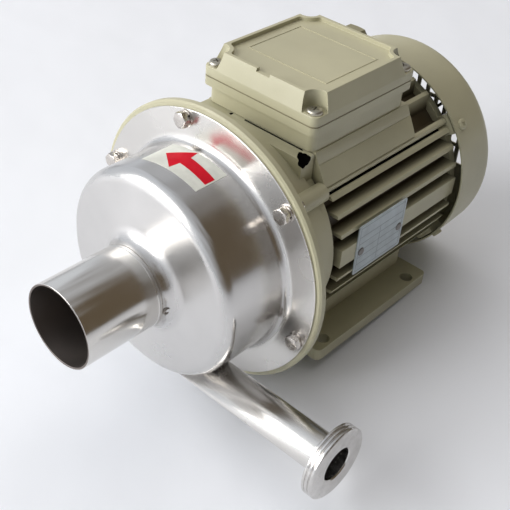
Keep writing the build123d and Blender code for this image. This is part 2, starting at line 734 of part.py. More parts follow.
# Frame: tube with cooling fins, saddle for the terminal box and pads for plate and feet
FIN_Y = FRAME_Y + FIN_START
with BuildPart() as frame:
    with BuildSketch(across(FRAME_Y)):
        Circle(TUBE_R)
    extrude(amount=FRAME_Y - FRAME_END)
    with BuildSketch(across(FIN_Y)):
        with Locations((0, RIDGE_Z), (0, UPPER_FIN_Z + FIN_PITCH), (0, UPPER_FIN_Z)):
            Rectangle(2 * FIN_TIP_R, FIN_T)
        with Locations((0, -FIN_PITCH), (0, -2 * FIN_PITCH), (0, -3 * FIN_PITCH)):
            Rectangle(2 * FIN_TIP_R, FIN_T)
        with Locations((0, PAD_Z)):
            Rectangle(2 * PAD_FACE_X, PAD_HEIGHT)
        with Locations((0, -FIN_TIP_R / 2)):
            with GridLocations(FIN_PITCH, 0, LOWER_FINS, 1):
                Rectangle(FIN_T, FIN_TIP_R)
        Circle(FIN_TIP_R, mode=Mode.INTERSECT)
    extrude(amount=FIN_Y - FRAME_END)
    with BuildSketch(across(SADDLE_END)):
        with Locations((0, FIN_TIP_R / 2)):
            with GridLocations(FIN_PITCH, 0, UPPER_FINS, 1):
                Rectangle(FIN_T, FIN_TIP_R)
        Circle(FIN_TIP_R, mode=Mode.INTERSECT)
    extrude(amount=SADDLE_END - FRAME_END)
    with BuildSketch(across(SADDLE_Y)):
        with BuildLine():
            Polyline(
                (-SADDLE_HALF, SADDLE_TOP),
                (SADDLE_HALF, SADDLE_TOP),
                (SADDLE_HALF + SADDLE_SPREAD, SADDLE_TOP - SADDLE_DEPTH),
                (-SADDLE_HALF - SADDLE_SPREAD, SADDLE_TOP - SADDLE_DEPTH),
                close=True,
            )
        make_face()
    extrude(amount=SADDLE_Y - SADDLE_END)
    with BuildSketch(across(FRAME_PAD_Y)):
        with Locations((FOOT_PAD_X, FOOT_PAD_Z / 2), (-FOOT_PAD_X, FOOT_PAD_Z / 2)):
            Rectangle(FOOT_PAD_WIDTH, -FOOT_PAD_Z)
    extrude(amount=FOOT_PAD_LENGTH / 2, both=True)
    with BuildSketch(across(FRAME_Y)):
        Circle(BORE_R)
    extrude(amount=FRAME_Y - FRAME_END, mode=Mode.SUBTRACT)
    with BuildSketch(Plane.XY.offset(SADDLE_TOP)):
        with Locations((0, WINDOW_Y)):
            Rectangle(WINDOW_LENGTH, WINDOW_WIDTH)
    extrude(amount=-SADDLE_TOP + BORE_R / 2, mode=Mode.SUBTRACT)
    with BuildSketch(Plane.XY.offset(SADDLE_TOP)):
        with Locations((0, BOX_Y)):
            with GridLocations(BOX_SCREW_PITCH_X, BOX_SCREW_PITCH_Y, 2, 2):
                Circle(M4_R + SEAT)
    extrude(amount=-BOX_SCREW_REACH, mode=Mode.SUBTRACT)
    with BuildSketch(Plane.XY.offset(FOOT_PAD_Z)):
        with Locations((0, FRAME_PAD_Y)):
            with GridLocations(2 * FOOT_PAD_X, FOOT_SCREW_PITCH, 2, 2):
                Circle(M6_R + SEAT)
    extrude(amount=FOOT_SCREW_REACH, mode=Mode.SUBTRACT)
    with BuildSketch(Plane.YZ.offset(PAD_FACE_X)):
        with Locations((NAMEPLATE_Y - RIVET_HALF, RIVET_Z), (NAMEPLATE_Y + RIVET_HALF, RIVET_Z)):
            Circle(RIVET_R + SEAT)
    extrude(amount=-RIVET_REACH, mode=Mode.SUBTRACT)
frame.part.label = "frame"
export_step(frame.part, "parts/frame.step")

# Feet: slabs with two holes each, screwed to the frame pads from below
for name, side in (("foot_right", 1), ("foot_left", -1)):
    with BuildPart() as foot:
        with BuildSketch(across(FOOT_Y)):
            with Locations((side * (FOOT_EDGE_X + FOOT_INNER_X) / 2, FOOT_Z + FOOT_T / 2)):
                Rectangle(FOOT_EDGE_X - FOOT_INNER_X, FOOT_T)
        extrude(amount=-FOOT_LENGTH)
        fillet(foot.edges().filter_by(Axis.Z), FOOT_CORNER_R)
        with BuildSketch(across(FRAME_PAD_Y)):
            with Locations((side * FOOT_PAD_X, (FOOT_PAD_Z + FOOT_Z) / 2)):
                Rectangle(FOOT_PAD_WIDTH, FOOT_PAD_Z - FOOT_Z)
        extrude(amount=FOOT_PAD_LENGTH / 2, both=True)
        with BuildSketch(Plane.XY.offset(FOOT_Z)):
            with Locations((side * FOOT_HOLE_X, FOOT_HOLE_Y)):
                with GridLocations(0, FOOT_HOLE_PITCH, 1, 2):
                    Circle(FOOT_HOLE_R)
            with Locations((side * FOOT_PAD_X, FRAME_PAD_Y)):
                with GridLocations(0, FOOT_SCREW_PITCH, 1, 2):
                    Circle(M6_HOLE_R)
        extrude(amount=FOOT_PAD_Z - FOOT_Z, mode=Mode.SUBTRACT)
        with BuildSketch(Plane.XY.offset(FOOT_Z)):
            with Locations((side * FOOT_PAD_X, FRAME_PAD_Y)):
                with GridLocations(0, FOOT_SCREW_PITCH, 1, 2):
                    Circle(FOOT_SCREW_HEAD_R + GAP)
        extrude(amount=FOOT_SCREW_HEAD + SHEET, mode=Mode.SUBTRACT)
    foot.part.label = name
    export_step(foot.part, f"parts/{name}.step")

FOOT_SCREW_SEAT = FOOT_Z + FOOT_SCREW_HEAD + SHEET
with BuildPart() as foot_screws:
    with BuildSketch(Plane.XY.offset(FOOT_SCREW_SEAT)):
        with Locations((0, FRAME_PAD_Y)):
            with GridLocations(2 * FOOT_PAD_X, FOOT_SCREW_PITCH, 2, 2):
                Circle(FOOT_SCREW_HEAD_R)
    extrude(amount=-FOOT_SCREW_HEAD)
    with BuildSketch(Plane.XY.offset(FOOT_SCREW_SEAT)):
        with Locations((0, FRAME_PAD_Y)):
            with GridLocations(2 * FOOT_PAD_X, FOOT_SCREW_PITCH, 2, 2):
                Circle(M6_R)
    extrude(amount=FOOT_PAD_Z + FOOT_SCREW_REACH - SHEET - FOOT_SCREW_SEAT)
foot_screws.part.label = "foot_screws"
export_step(foot_screws.part, "parts/foot_screws.step")

# Blank rating plate with its rivets
with BuildPart() as nameplate:
    with BuildSketch(Plane.YZ.offset(PAD_FACE_X)):
        with Locations((NAMEPLATE_Y, NAMEPLATE_Z)):
            RectangleRounded(NAMEPLATE_LENGTH, NAMEPLATE_HEIGHT, RIVET_R)
        with Locations((NAMEPLATE_Y - RIVET_HALF, RIVET_Z), (NAMEPLATE_Y + RIVET_HALF, RIVET_Z)):
            Circle(RIVET_R + SEAT, mode=Mode.SUBTRACT)
    extrude(amount=NAMEPLATE_T)
nameplate.part.label = "nameplate"
export_step(nameplate.part, "parts/nameplate.step")

with BuildPart() as nameplate_rivets:
    with BuildSketch(Plane.YZ.offset(PAD_FACE_X + NAMEPLATE_T)):
        with Locations((NAMEPLATE_Y - RIVET_HALF, RIVET_Z), (NAMEPLATE_Y + RIVET_HALF, RIVET_Z)):
            Circle(RIVET_R)
    extrude(amount=SHEET - RIVET_REACH - NAMEPLATE_T)
    with BuildSketch(Plane.YZ.offset(PAD_FACE_X + NAMEPLATE_T)):
        with Locations((NAMEPLATE_Y - RIVET_HALF, RIVET_Z), (NAMEPLATE_Y + RIVET_HALF, RIVET_Z)):
            Circle(2 * RIVET_R)
    extrude(amount=NAMEPLATE_T)
    chamfer(nameplate_rivets.edges().group_by(Axis.X)[-1], NAMEPLATE_T / 2)
nameplate_rivets.part.label = "nameplate_rivets"
export_step(nameplate_rivets.part, "parts/nameplate_rivets.step")

# Stator: slotted core and its end windings
with BuildPart() as stator_core:
    with BuildSketch(across(CORE_Y)):
        Circle(BORE_R - SEAT)
        Circle(STATOR_BORE_R, mode=Mode.SUBTRACT)
        with PolarLocations(STATOR_BORE_R + SLOT_DEPTH / 2, SLOT_COUNT):
            Rectangle(SLOT_DEPTH + EDGE, SLOT_WIDTH, mode=Mode.SUBTRACT)
    extrude(amount=-CORE_LENGTH)
stator_core.part.label = "stator_core"
export_step(stator_core.part, "parts/stator_core.step")

WINDING_INNER_R = STATOR_BORE_R + WINDING_STEP
WINDING_OUTER_R = BORE_R - WINDING_ROOM
with BuildPart() as windings:
    with BuildSketch(Plane.XY):
        ring_profile(WINDING_INNER_R, WINDING_OUTER_R, CORE_Y - WINDING_REACH, CORE_Y)
        ring_profile(WINDING_INNER_R, WINDING_OUTER_R, CORE_END, CORE_END + WINDING_REACH)
    revolve(axis=Axis.Y)
    chamfer(windings.edges().filter_by(GeomType.CIRCLE).group_by(Axis.Y)[0], WINDING_REACH / 3)
    chamfer(windings.edges().filter_by(GeomType.CIRCLE).group_by(Axis.Y)[-1], WINDING_REACH / 3)
windings.part.label = "windings"
export_step(windings.part, "parts/windings.step")

# Rotor: laminated core and the end rings of its cage
with BuildPart() as rotor_core:
    with BuildSketch(Plane.XY):
        ring_profile(ROTOR_SEAT_R, ROTOR_R, CORE_Y, CORE_END)
    revolve(axis=Axis.Y)
rotor_core.part.label = "rotor_core"
export_step(rotor_core.part, "parts/rotor_core.step")

with BuildPart() as rotor_cage:
    with BuildSketch(Plane.XY):
        ring_profile(CAGE_INNER_R, ROTOR_R - CAGE_STEP, CORE_Y - CAGE_T, CORE_Y)
        ring_profile(CAGE_INNER_R, ROTOR_R - CAGE_STEP, CORE_END, CORE_END + CAGE_T)
    revolve(axis=Axis.Y)
rotor_cage.part.label = "rotor_cage"
export_step(rotor_cage.part, "parts/rotor_cage.step")

# Bearings: sealed rings, the turning inner ring clear of the shields
bearings = (
    ("front", FRONT_BEARING_Y, FRONT_BEARING_T, FRONT_SEAT_R, FRONT_BEARING_R),
    ("rear", REAR_BEARING_Y, REAR_BEARING_T, REAR_SEAT_R, REAR_BEARING_R),
)
for place, start, width, bore, outside in bearings:
    ring_t = (outside - bore) * RING_SHARE
    with BuildPart() as outer_ring:
        with BuildSketch(Plane.XY):
            ring_profile(outside - ring_t, outside, start, start + width)
            ring_profile(bore + ring_t + GAP, outside, start, start + BEARING_SHIELD)
            ring_profile(bore + ring_t + GAP, outside, start + width - BEARING_SHIELD, start + width)
        revolve(axis=Axis.Y)
    outer_ring.part.label = f"{place}_bearing_outer"
    export_step(outer_ring.part, f"parts/{place}_bearing_outer.step")
    with BuildPart() as inner_ring:
        with BuildSketch(Plane.XY):
            ring_profile(bore, bore + ring_t, start, start + width)
        revolve(axis=Axis.Y)
    inner_ring.part.label = f"{place}_bearing_inner"
    export_step(inner_ring.part, f"parts/{place}_bearing_inner.step")

WASHER_Y = REAR_BEARING_Y + REAR_BEARING_T
PRELOAD_R = REAR_BEARING_R - GAP
with BuildPart() as preload_washer:
    with BuildSketch(Plane.XY):
        ring_profile(PRELOAD_R - PRELOAD_WIDTH, PRELOAD_R, WASHER_Y, WASHER_Y + PRELOAD_T)
    revolve(axis=Axis.Y)
preload_washer.part.label = "preload_washer"
export_step(preload_washer.part, "parts/preload_washer.step")

# Rear shield: disc, bearing hub and four ears for the tie bolts and cowl screws
EAR_ANGLE = (TIE_ANGLE + COWL_SCREW_ANGLE) / 2
EAR_SPREAD = math.degrees(EAR_WIDTH / 2 / TIE_CIRCLE_R)
with BuildPart() as rear_shield:
    with BuildSketch(Plane.XY):
        ring_profile(FAN_SEAT_R + ROOM, REAR_SHIELD_R, FRAME_END, FRAME_END + REAR_SHIELD_T)
        ring_profile(REAR_BEARING_R + SEAT, REAR_HUB_R, REAR_BEARING_Y, FRAME_END)
        ring_profile(FAN_SEAT_R + ROOM, REAR_HUB_R, WASHER_Y + PRELOAD_T, FRAME_END)
    revolve(axis=Axis.Y)
    with BuildSketch(across(FRAME_END)):
        for angle in (EAR_ANGLE, 180 - EAR_ANGLE, 180 + EAR_ANGLE, -EAR_ANGLE):
            with BuildLine():
                Polyline(
                    (0, 0),
                    around(2 * COWL_R, angle - EAR_SPREAD),
                    around(2 * COWL_R, angle + EAR_SPREAD),
                    close=True,
                )
            make_face()
        Circle(EAR_INNER_R, mode=Mode.SUBTRACT)
        Circle(COWL_BACK_R - COWL_WALL, mode=Mode.INTERSECT)
    extrude(amount=FRAME_END - EAR_END)
    with BuildSketch(across(FRAME_END)):
        with Locations(*tie_points()):
            Circle(M5_HOLE_R)
    extrude(amount=FRAME_END - EAR_END, mode=Mode.SUBTRACT)
    for radial in cowl_screw_planes():
        with BuildSketch(radial):
            Circle(M4_R + SEAT)
        extrude(amount=COWL_R - EAR_INNER_R, mode=Mode.SUBTRACT)
rear_shield.part.label = "rear_shield"
export_step(rear_shield.part, "parts/rear_shield.step")

with BuildPart() as tie_bolts:
    with BuildSketch(across(EAR_END)):
        with Locations(*tie_points()):
            Circle(M5_R)
    extrude(amount=EAR_END - SKIRT_END + TOP_PAD_T)
    with BuildSketch(across(EAR_END)):
        with Locations(*tie_points()):
            RegularPolygon(M5_FLATS / 2, 6, major_radius=False)
    extrude(amount=-M5_HEAD)
tie_bolts.part.label = "tie_bolts"
export_step(tie_bolts.part, "parts/tie_bolts.step")

# Fan: hub, disc and straight blades, held by a clip
with BuildPart() as fan:
    with BuildSketch(Plane.XY):
        ring_profile(FAN_SEAT_R, FAN_HUB_R, FAN_Y, FAN_Y + FAN_HUB_LENGTH)
        ring_profile(FAN_SEAT_R, FAN_R, FAN_Y, FAN_Y + FAN_DISC_T)
    revolve(axis=Axis.Y)
    with BuildSketch(across(FAN_Y)):
        with PolarLocations((FAN_HUB_R + FAN_R) / 2, FAN_BLADES):
            Rectangle(FAN_R - FAN_HUB_R + ROOM, FAN_BLADE_T)
        Circle(FAN_R, mode=Mode.INTERSECT)
    extrude(amount=-FAN_BLADE_DEPTH)
fan.part.label = "fan"
export_step(fan.part, "parts/fan.step")

with BuildPart() as fan_clip:
    with BuildSketch(across(FAN_Y + FAN_HUB_LENGTH)):
        Circle(FAN_SEAT_R + CLIP_WIDTH)
        Circle(FAN_SEAT_R, mode=Mode.SUBTRACT)
        with Locations((0, -FAN_SEAT_R)):
            Rectangle(FAN_SEAT_R, FAN_SEAT_R, mode=Mode.SUBTRACT)
    extrude(amount=-CLIP_T)
fan_clip.part.label = "fan_clip"
export_step(fan_clip.part, "parts/fan_clip.step")

# Fan cowl: drawn sheet with a slotted back
with BuildPart() as fan_cowl:
    with BuildSketch(Plane.XY):
        with BuildLine():
            wall = Polyline((COWL_R, FRAME_END), (COWL_BACK_R, COWL_END), (0, COWL_END))
            fillet(wall.vertices().sort_by(Axis.X)[1:].sort_by(Axis.Y)[-1], COWL_CORNER_R)
            offset(amount=COWL_WALL, side=Side.LEFT, mode=Mode.ADD)
        make_face()
    revolve(axis=Axis.Y)
    with BuildSketch(across(COWL_END)):
        columns = int(FAN_R / GRILLE_PITCH_X)
        rows = int(FAN_R / GRILLE_PITCH_Z)
        for column in range(-columns, columns + 1):
            for row in range(-rows, rows + 1):
                x = column * GRILLE_PITCH_X
                z = row * GRILLE_PITCH_Z
                if math.hypot(abs(x) + GRILLE_SLOT_X / 2, abs(z) + GRILLE_SLOT_Z / 2) < FAN_R + EDGE:
                    with Locations((x, z)):
                        Rectangle(GRILLE_SLOT_X, GRILLE_SLOT_Z)
    extrude(amount=2 * COWL_WALL, mode=Mode.SUBTRACT)
    for radial in cowl_screw_planes():
        with BuildSketch(radial):
            Circle(M4_HOLE_R)
        extrude(amount=COWL_R - EAR_INNER_R, mode=Mode.SUBTRACT)
fan_cowl.part.label = "fan_cowl"
export_step(fan_cowl.part, "parts/fan_cowl.step")

with BuildPart() as cowl_screws:
    for radial in cowl_screw_planes():
        with BuildSketch(radial.offset(EDGE)):
            Circle(M4_R)
        extrude(amount=COWL_R - EAR_INNER_R)
        with BuildSketch(radial.offset(COWL_R - EAR_INNER_R)):
            Circle(M4_HEAD_R)
        extrude(amount=M4_HEAD)
cowl_screws.part.label = "cowl_screws"
export_step(cowl_screws.part, "parts/cowl_screws.step")

# Terminal box base: open box with a wide lip, screw columns, cable entry and wire window
box_plane = Plane((0, BOX_Y, 0))
with BuildPart() as box_base:
    with BuildSketch(box_plane.offset(SADDLE_TOP)):
        RectangleRounded(2 * BOX_HALF_X, 2 * BOX_HALF_Y, BOX_CORNER_R)
    extrude(amount=BASE_TOP - SADDLE_TOP)
    with BuildSketch(box_plane.offset(BASE_TOP)):
        RectangleRounded(2 * LIP_HALF_X, 2 * LIP_HALF_Y, BOX_CORNER_R)
    extrude(amount=-LIP_T)
    with BuildSketch(box_plane.offset(SADDLE_TOP)):
        with Locations((GLAND_X, (BOX_HALF_Y + LIP_HALF_Y) / 2)):
            Rectangle(GLAND_FLATS + 2 * BOX_WALL, LIP_HALF_Y - BOX_HALF_Y)
    extrude(amount=BASE_TOP - SADDLE_TOP)
    with BuildSketch(across(BOX_Y + GLAND_SEAT)):
        with Locations((GLAND_X, GLAND_Z)):
            Circle(BASE_TOP - GLAND_Z)
    extrude(amount=GLAND_SEAT - LIP_HALF_Y)
    with BuildSketch(box_plane.offset(SADDLE_TOP + BOX_WALL)):
        Rectangle(2 * (BOX_HALF_X - BOX_WALL), 2 * (BOX_HALF_Y - BOX_WALL))
        with GridLocations(2 * LID_SCREW_X, 2 * LID_SCREW_HALF_Y, 2, 2):
            Circle(SCOOP_R, mode=Mode.SUBTRACT)
    extrude(amount=BASE_TOP - SADDLE_TOP, mode=Mode.SUBTRACT)
    with BuildSketch(box_plane.offset(BASE_TOP)):
        with GridLocations(2 * LID_SCREW_X, 2 * LID_SCREW_HALF_Y, 2, 2):
            Circle(M4_R + SEAT)
    extrude(amount=-LID_SCREW_REACH, mode=Mode.SUBTRACT)
    with BuildSketch(Plane.XY.offset(SADDLE_TOP)):
        with Locations((0, WINDOW_Y)):
            Rectangle(WINDOW_LENGTH, WINDOW_WIDTH)
        with Locations((0, BOX_Y)):
            with GridLocations(BOX_SCREW_PITCH_X, BOX_SCREW_PITCH_Y, 2, 2):
                Circle(M4_HOLE_R)
    extrude(amount=BOX_WALL, mode=Mode.SUBTRACT)
    with BuildSketch(across(BOX_Y + GLAND_SEAT)):
        with Locations((GLAND_X, GLAND_Z)):
            Circle(GLAND_THREAD_R + SEAT)
    extrude(amount=GLAND_SEAT - BOX_HALF_Y + BOX_WALL, mode=Mode.SUBTRACT)
box_base.part.label = "box_base"
export_step(box_base.part, "parts/box_base.step")

with BuildPart() as box_screws:
    with BuildSketch(box_plane.offset(SADDLE_TOP + BOX_WALL)):
        with GridLocations(BOX_SCREW_PITCH_X, BOX_SCREW_PITCH_Y, 2, 2):
            Circle(M4_HEAD_R)
    extrude(amount=M4_HEAD)
    with BuildSketch(box_plane.offset(SADDLE_TOP + BOX_WALL)):
        with GridLocations(BOX_SCREW_PITCH_X, BOX_SCREW_PITCH_Y, 2, 2):
            Circle(M4_R)
    extrude(amount=SHEET - BOX_WALL - BOX_SCREW_REACH)
box_screws.part.label = "box_screws"
export_step(box_screws.part, "parts/box_screws.step")

with BuildPart() as box_gasket:
    with BuildSketch(box_plane.offset(BASE_TOP)):
        Rectangle(2 * (LIP_HALF_X - EDGE), 2 * (LIP_HALF_Y - EDGE))
        Rectangle(2 * (LIP_HALF_X - LID_WALL), 2 * (LIP_HALF_Y - LID_WALL), mode=Mode.SUBTRACT)
        with GridLocations(2 * LID_SCREW_X, 2 * LID_SCREW_HALF_Y, 2, 2):
            Circle(SCOOP_R)
            Circle(M4_HOLE_R, mode=Mode.SUBTRACT)
        Rectangle(2 * (LIP_HALF_X - EDGE), 2 * (LIP_HALF_Y - EDGE), mode=Mode.INTERSECT)
    extrude(amount=GASKET_T)
box_gasket.part.label = "box_gasket"
export_step(box_gasket.part, "parts/box_gasket.step")

# Lid: drafted walls, sunk panel inside a raised rim, scooped corners over the screws
with BuildPart() as box_lid:
    with BuildSketch(box_plane.offset(LID_Z)):
        RectangleRounded(2 * LIP_HALF_X, 2 * LIP_HALF_Y, BOX_CORNER_R)
    extrude(amount=LID_EDGE_Z - LID_Z)
    with BuildSketch(box_plane.offset(LID_EDGE_Z)):
        RectangleRounded(2 * LIP_HALF_X, 2 * LIP_HALF_Y, BOX_CORNER_R)
    extrude(amount=LID_TOP - LID_EDGE_Z, taper=LID_TAPER)
    top = box_lid.faces().sort_by(Axis.Z)[-1].bounding_box().size
    with BuildSketch(box_plane.offset(SCOOP_Z)):
        with GridLocations(2 * LID_SCREW_X, 2 * LID_SCREW_HALF_Y, 2, 2):
            Circle(SCOOP_R)
    extrude(amount=LID_TOP - SCOOP_Z, mode=Mode.SUBTRACT)
    with BuildSketch(box_plane.offset(LID_TOP - PANEL_DEPTH)):
        Rectangle(top.X - 2 * RIM_WIDTH, top.Y - 2 * RIM_WIDTH)
        with GridLocations(2 * LID_SCREW_X, 2 * LID_SCREW_HALF_Y, 2, 2):
            Circle(SCOOP_R + RIM_WIDTH, mode=Mode.SUBTRACT)
        fillet(vertices(), RIM_WIDTH)
    extrude(amount=PANEL_DEPTH, mode=Mode.SUBTRACT)
    with BuildSketch(box_plane.offset(LID_TOP)):
        with Locations((0, -top.Y / 2)):
            Rectangle(NOTCH_WIDTH, 2 * RIM_WIDTH)
    extrude(amount=-NOTCH_DEPTH, mode=Mode.SUBTRACT)
    with BuildSketch(box_plane.offset(LID_Z)):
        Rectangle(2 * (LIP_HALF_X - LID_WALL), 2 * (LIP_HALF_Y - LID_WALL))
        with GridLocations(2 * LID_SCREW_X, 2 * LID_SCREW_HALF_Y, 2, 2):
            Circle(SCOOP_R + RIM_WIDTH, mode=Mode.SUBTRACT)
    extrude(amount=LID_TOP - PANEL_DEPTH - LID_CEILING - LID_Z, mode=Mode.SUBTRACT)
    with BuildSketch(box_plane.offset(LID_Z)):
        with GridLocations(2 * LID_SCREW_X, 2 * LID_SCREW_HALF_Y, 2, 2):
            Circle(M4_HOLE_R)
    extrude(amount=SCOOP_Z - LID_Z, mode=Mode.SUBTRACT)
box_lid.part.label = "box_lid"
export_step(box_lid.part, "parts/box_lid.step")

with BuildPart() as lid_screws:
    with BuildSketch(box_plane.offset(SCOOP_Z)):
        with GridLocations(2 * LID_SCREW_X, 2 * LID_SCREW_HALF_Y, 2, 2):
            Circle(PAN_HEAD_R)
    extrude(amount=PAN_HEAD)
    chamfer(lid_screws.edges().group_by(Axis.Z)[-1], PAN_HEAD / 2)
    with BuildSketch(box_plane.offset(SCOOP_Z)):
        with GridLocations(2 * LID_SCREW_X, 2 * LID_SCREW_HALF_Y, 2, 2):
            Circle(M4_R)
    extrude(amount=BASE_TOP - LID_SCREW_REACH + SHEET - SCOOP_Z)
lid_screws.part.label = "lid_screws"
export_step(lid_screws.part, "parts/lid_screws.step")

# Terminal block on the floor of the box, with six studs
with BuildPart() as terminal_block:
    with BuildSketch(box_plane.offset(SADDLE_TOP + BOX_WALL)):
        Rectangle(BLOCK_LENGTH, BLOCK_WIDTH)
    extrude(amount=BLOCK_HEIGHT)
    with BuildSketch(box_plane.offset(SADDLE_TOP + BOX_WALL + BLOCK_HEIGHT)):
        with GridLocations(STUD_PITCH_X, STUD_PITCH_Y, 3, 2):
            Circle(M4_R + SEAT)
    extrude(amount=-BLOCK_HEIGHT / 2, mode=Mode.SUBTRACT)
terminal_block.part.label = "terminal_block"
export_step(terminal_block.part, "parts/terminal_block.step")

with BuildPart() as terminal_studs:
    with BuildSketch(box_plane.offset(SADDLE_TOP + BOX_WALL + BLOCK_HEIGHT)):
        with GridLocations(STUD_PITCH_X, STUD_PITCH_Y, 3, 2):
            RegularPolygon(M4_HEAD_R, 6, major_radius=False)
    extrude(amount=M4_HEAD)
    with BuildSketch(box_plane.offset(SADDLE_TOP + BOX_WALL + BLOCK_HEIGHT / 2)):
        with GridLocations(STUD_PITCH_X, STUD_PITCH_Y, 3, 2):
            Circle(M4_R)
    extrude(amount=BLOCK_HEIGHT)
terminal_studs.part.label = "terminal_studs"
export_step(terminal_studs.part, "parts/terminal_studs.step")

# Cable gland on the back wall of the box, without a cable
gland_plane = Plane((GLAND_X, BOX_Y + GLAND_SEAT, GLAND_Z))
gland_axis = Axis(gland_plane.origin, (0, 1, 0))
GLAND_END = GLAND_HEX_T + GLAND_NUT_LENGTH
GLAND_DOME = GLAND_END - GLAND_HEX_T
with BuildPart() as gland_body:
    with BuildSketch(gland_plane):
        ring_profile(GLAND_BORE_R, GLAND_THREAD_R, BOX_HALF_Y - GLAND_SEAT - BOX_WALL, GLAND_HEX_T)
        ring_profile(GLAND_BORE_R, GLAND_THREAD_R, 0, GLAND_HEX_T + GLAND_NUT_LENGTH / 2)
    revolve(axis=gland_axis)
    with BuildSketch(Plane.XZ.offset(-gland_plane.origin.Y)):
        with Locations((GLAND_X, GLAND_Z)):
            RegularPolygon(GLAND_FLATS / 2, 6, major_radius=False)
            Circle(GLAND_BORE_R, mode=Mode.SUBTRACT)
    extrude(amount=-GLAND_HEX_T)
gland_body.part.label = "gland_body"
export_step(gland_body.part, "parts/gland_body.step")

with BuildPart() as gland_nut:
    with BuildSketch(Plane.XZ.offset(-gland_plane.origin.Y - GLAND_HEX_T - GAP)):
        with Locations((GLAND_X, GLAND_Z)):
            RegularPolygon(GLAND_FLATS / 2, 6, major_radius=False)
    extrude(amount=-GLAND_NUT_LENGTH)
    with BuildSketch(gland_plane):
        with BuildLine():
            Polyline(
                (0, 0),
                (GLAND_FLATS, 0),
                (GLAND_FLATS, GLAND_DOME - GLAND_HEX_T),
                (GLAND_FLATS / 2, GLAND_DOME),
                (GLAND_THREAD_R, GLAND_END),
                (0, GLAND_END),
                close=True,
            )
        make_face()
    revolve(axis=gland_axis, mode=Mode.INTERSECT)
    with BuildSketch(gland_plane):
        ring_profile(0, GLAND_THREAD_R + SEAT, 0, GLAND_HEX_T + GLAND_NUT_LENGTH / 2)
        ring_profile(0, GLAND_BORE_R, 0, GLAND_END)
    revolve(axis=gland_axis, mode=Mode.SUBTRACT)
gland_nut.part.label = "gland_nut"
export_step(gland_nut.part, "parts/gland_nut.step")
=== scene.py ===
import math

import bmesh
import bpy
from mathutils import Matrix, Vector


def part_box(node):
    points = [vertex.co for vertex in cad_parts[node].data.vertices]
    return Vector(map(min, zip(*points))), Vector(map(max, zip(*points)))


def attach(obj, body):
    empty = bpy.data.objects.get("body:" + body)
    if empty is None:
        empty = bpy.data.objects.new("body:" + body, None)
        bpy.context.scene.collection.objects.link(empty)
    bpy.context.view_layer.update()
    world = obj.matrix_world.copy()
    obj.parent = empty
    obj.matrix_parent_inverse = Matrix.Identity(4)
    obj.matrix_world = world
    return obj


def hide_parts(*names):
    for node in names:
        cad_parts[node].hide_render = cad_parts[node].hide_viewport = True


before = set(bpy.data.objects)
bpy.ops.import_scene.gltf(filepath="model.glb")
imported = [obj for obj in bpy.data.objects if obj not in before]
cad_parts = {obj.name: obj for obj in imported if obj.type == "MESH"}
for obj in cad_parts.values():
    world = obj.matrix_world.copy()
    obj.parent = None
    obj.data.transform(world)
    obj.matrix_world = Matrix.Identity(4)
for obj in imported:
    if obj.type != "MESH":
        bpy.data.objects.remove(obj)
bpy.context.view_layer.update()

# Sizes and places of pieces are written in millimetres, and MM turns them into the frame's metres.
# Finishes, lamps and the camera are written in metres.
MM = 0.001


# Node helpers

class Nodes:
    """A node tree under construction, with short ways to add and join nodes."""

    def __init__(self, tree, coordinates):
        self.tree = tree
        self.place = self.node("ShaderNodeTexCoord").outputs[coordinates]

    def node(self, kind, **values):
        made = self.tree.nodes.new(kind)
        for key, value in values.items():
            setattr(made, key, value)
        return made

    def join(self, source, target):
        self.tree.links.new(source, target)

    def scaled(self, scale):
        """The coordinates stretched by a scale for each axis."""
        mapping = self.node("ShaderNodeMapping")
        mapping.inputs["Scale"].default_value = scale
        self.join(self.place, mapping.inputs["Vector"])
        return mapping.outputs["Vector"]

    def noise(self, scale, detail=4, roughness=0.55, place=None):
        texture = self.node("ShaderNodeTexNoise")
        texture.inputs["Scale"].default_value = scale
        texture.inputs["Detail"].default_value = detail
        texture.inputs["Roughness"].default_value = roughness
        self.join(place or self.place, texture.inputs["Vector"])
        return texture.outputs["Fac"]

    def shaft_distance(self):
        """How far a point lies from the shaft's axis."""
        length = self.node("ShaderNodeVectorMath", operation="LENGTH")
        self.join(self.scaled((1, 0, 1)), length.inputs[0])
        return length.outputs["Value"]

    def spread(self, value, low, high, start=0.3, stop=0.7):
        """A value between start and stop, carried to between low and high."""
        step = self.node("ShaderNodeMapRange")
        step.inputs["From Min"].default_value = start
        step.inputs["From Max"].default_value = stop
        step.inputs["To Min"].default_value = low
        step.inputs["To Max"].default_value = high
        self.join(value, step.inputs["Value"])
        return step.outputs["Result"]

    def blend(self, share, first, second):
        """Colour between first and second by share."""
        mix = self.node("ShaderNodeMix", data_type="RGBA")
        for socket, colour in ((6, first), (7, second)):
            if isinstance(colour, tuple):
                mix.inputs[socket].default_value = (*colour, 1)
            else:
                self.join(colour, mix.inputs[socket])
        self.join(share, mix.inputs[0])
        return mix.outputs[2]


finishes = {}


class Finish(Nodes):
    """A material under construction: its node tree and its surface shader, kept in finishes by name."""

    def __init__(self, name, colour, roughness, metallic=0.0):
        self.material = bpy.data.materials.new(name)
        finishes[name] = self.material
        self.material.use_nodes = True
        super().__init__(self.material.node_tree, "Object")
        self.shader = self.tree.nodes["Principled BSDF"]
        self.shader.inputs["Base Color"].default_value = (*colour, 1)
        self.shader.inputs["Roughness"].default_value = roughness
        self.shader.inputs["Metallic"].default_value = metallic

    def colour(self, socket):
        self.join(socket, self.shader.inputs["Base Color"])

    def rough(self, socket):
        self.join(socket, self.shader.inputs["Roughness"])

    def bump(self, height, depth):
        step = self.node("ShaderNodeBump")
        step.inputs["Distance"].default_value = depth
        self.join(height, step.inputs["Height"])
        last = self.shader.inputs["Normal"]
        if last.is_linked:
            self.join(last.links[0].from_socket, step.inputs["Normal"])
        self.join(step.outputs["Normal"], last)


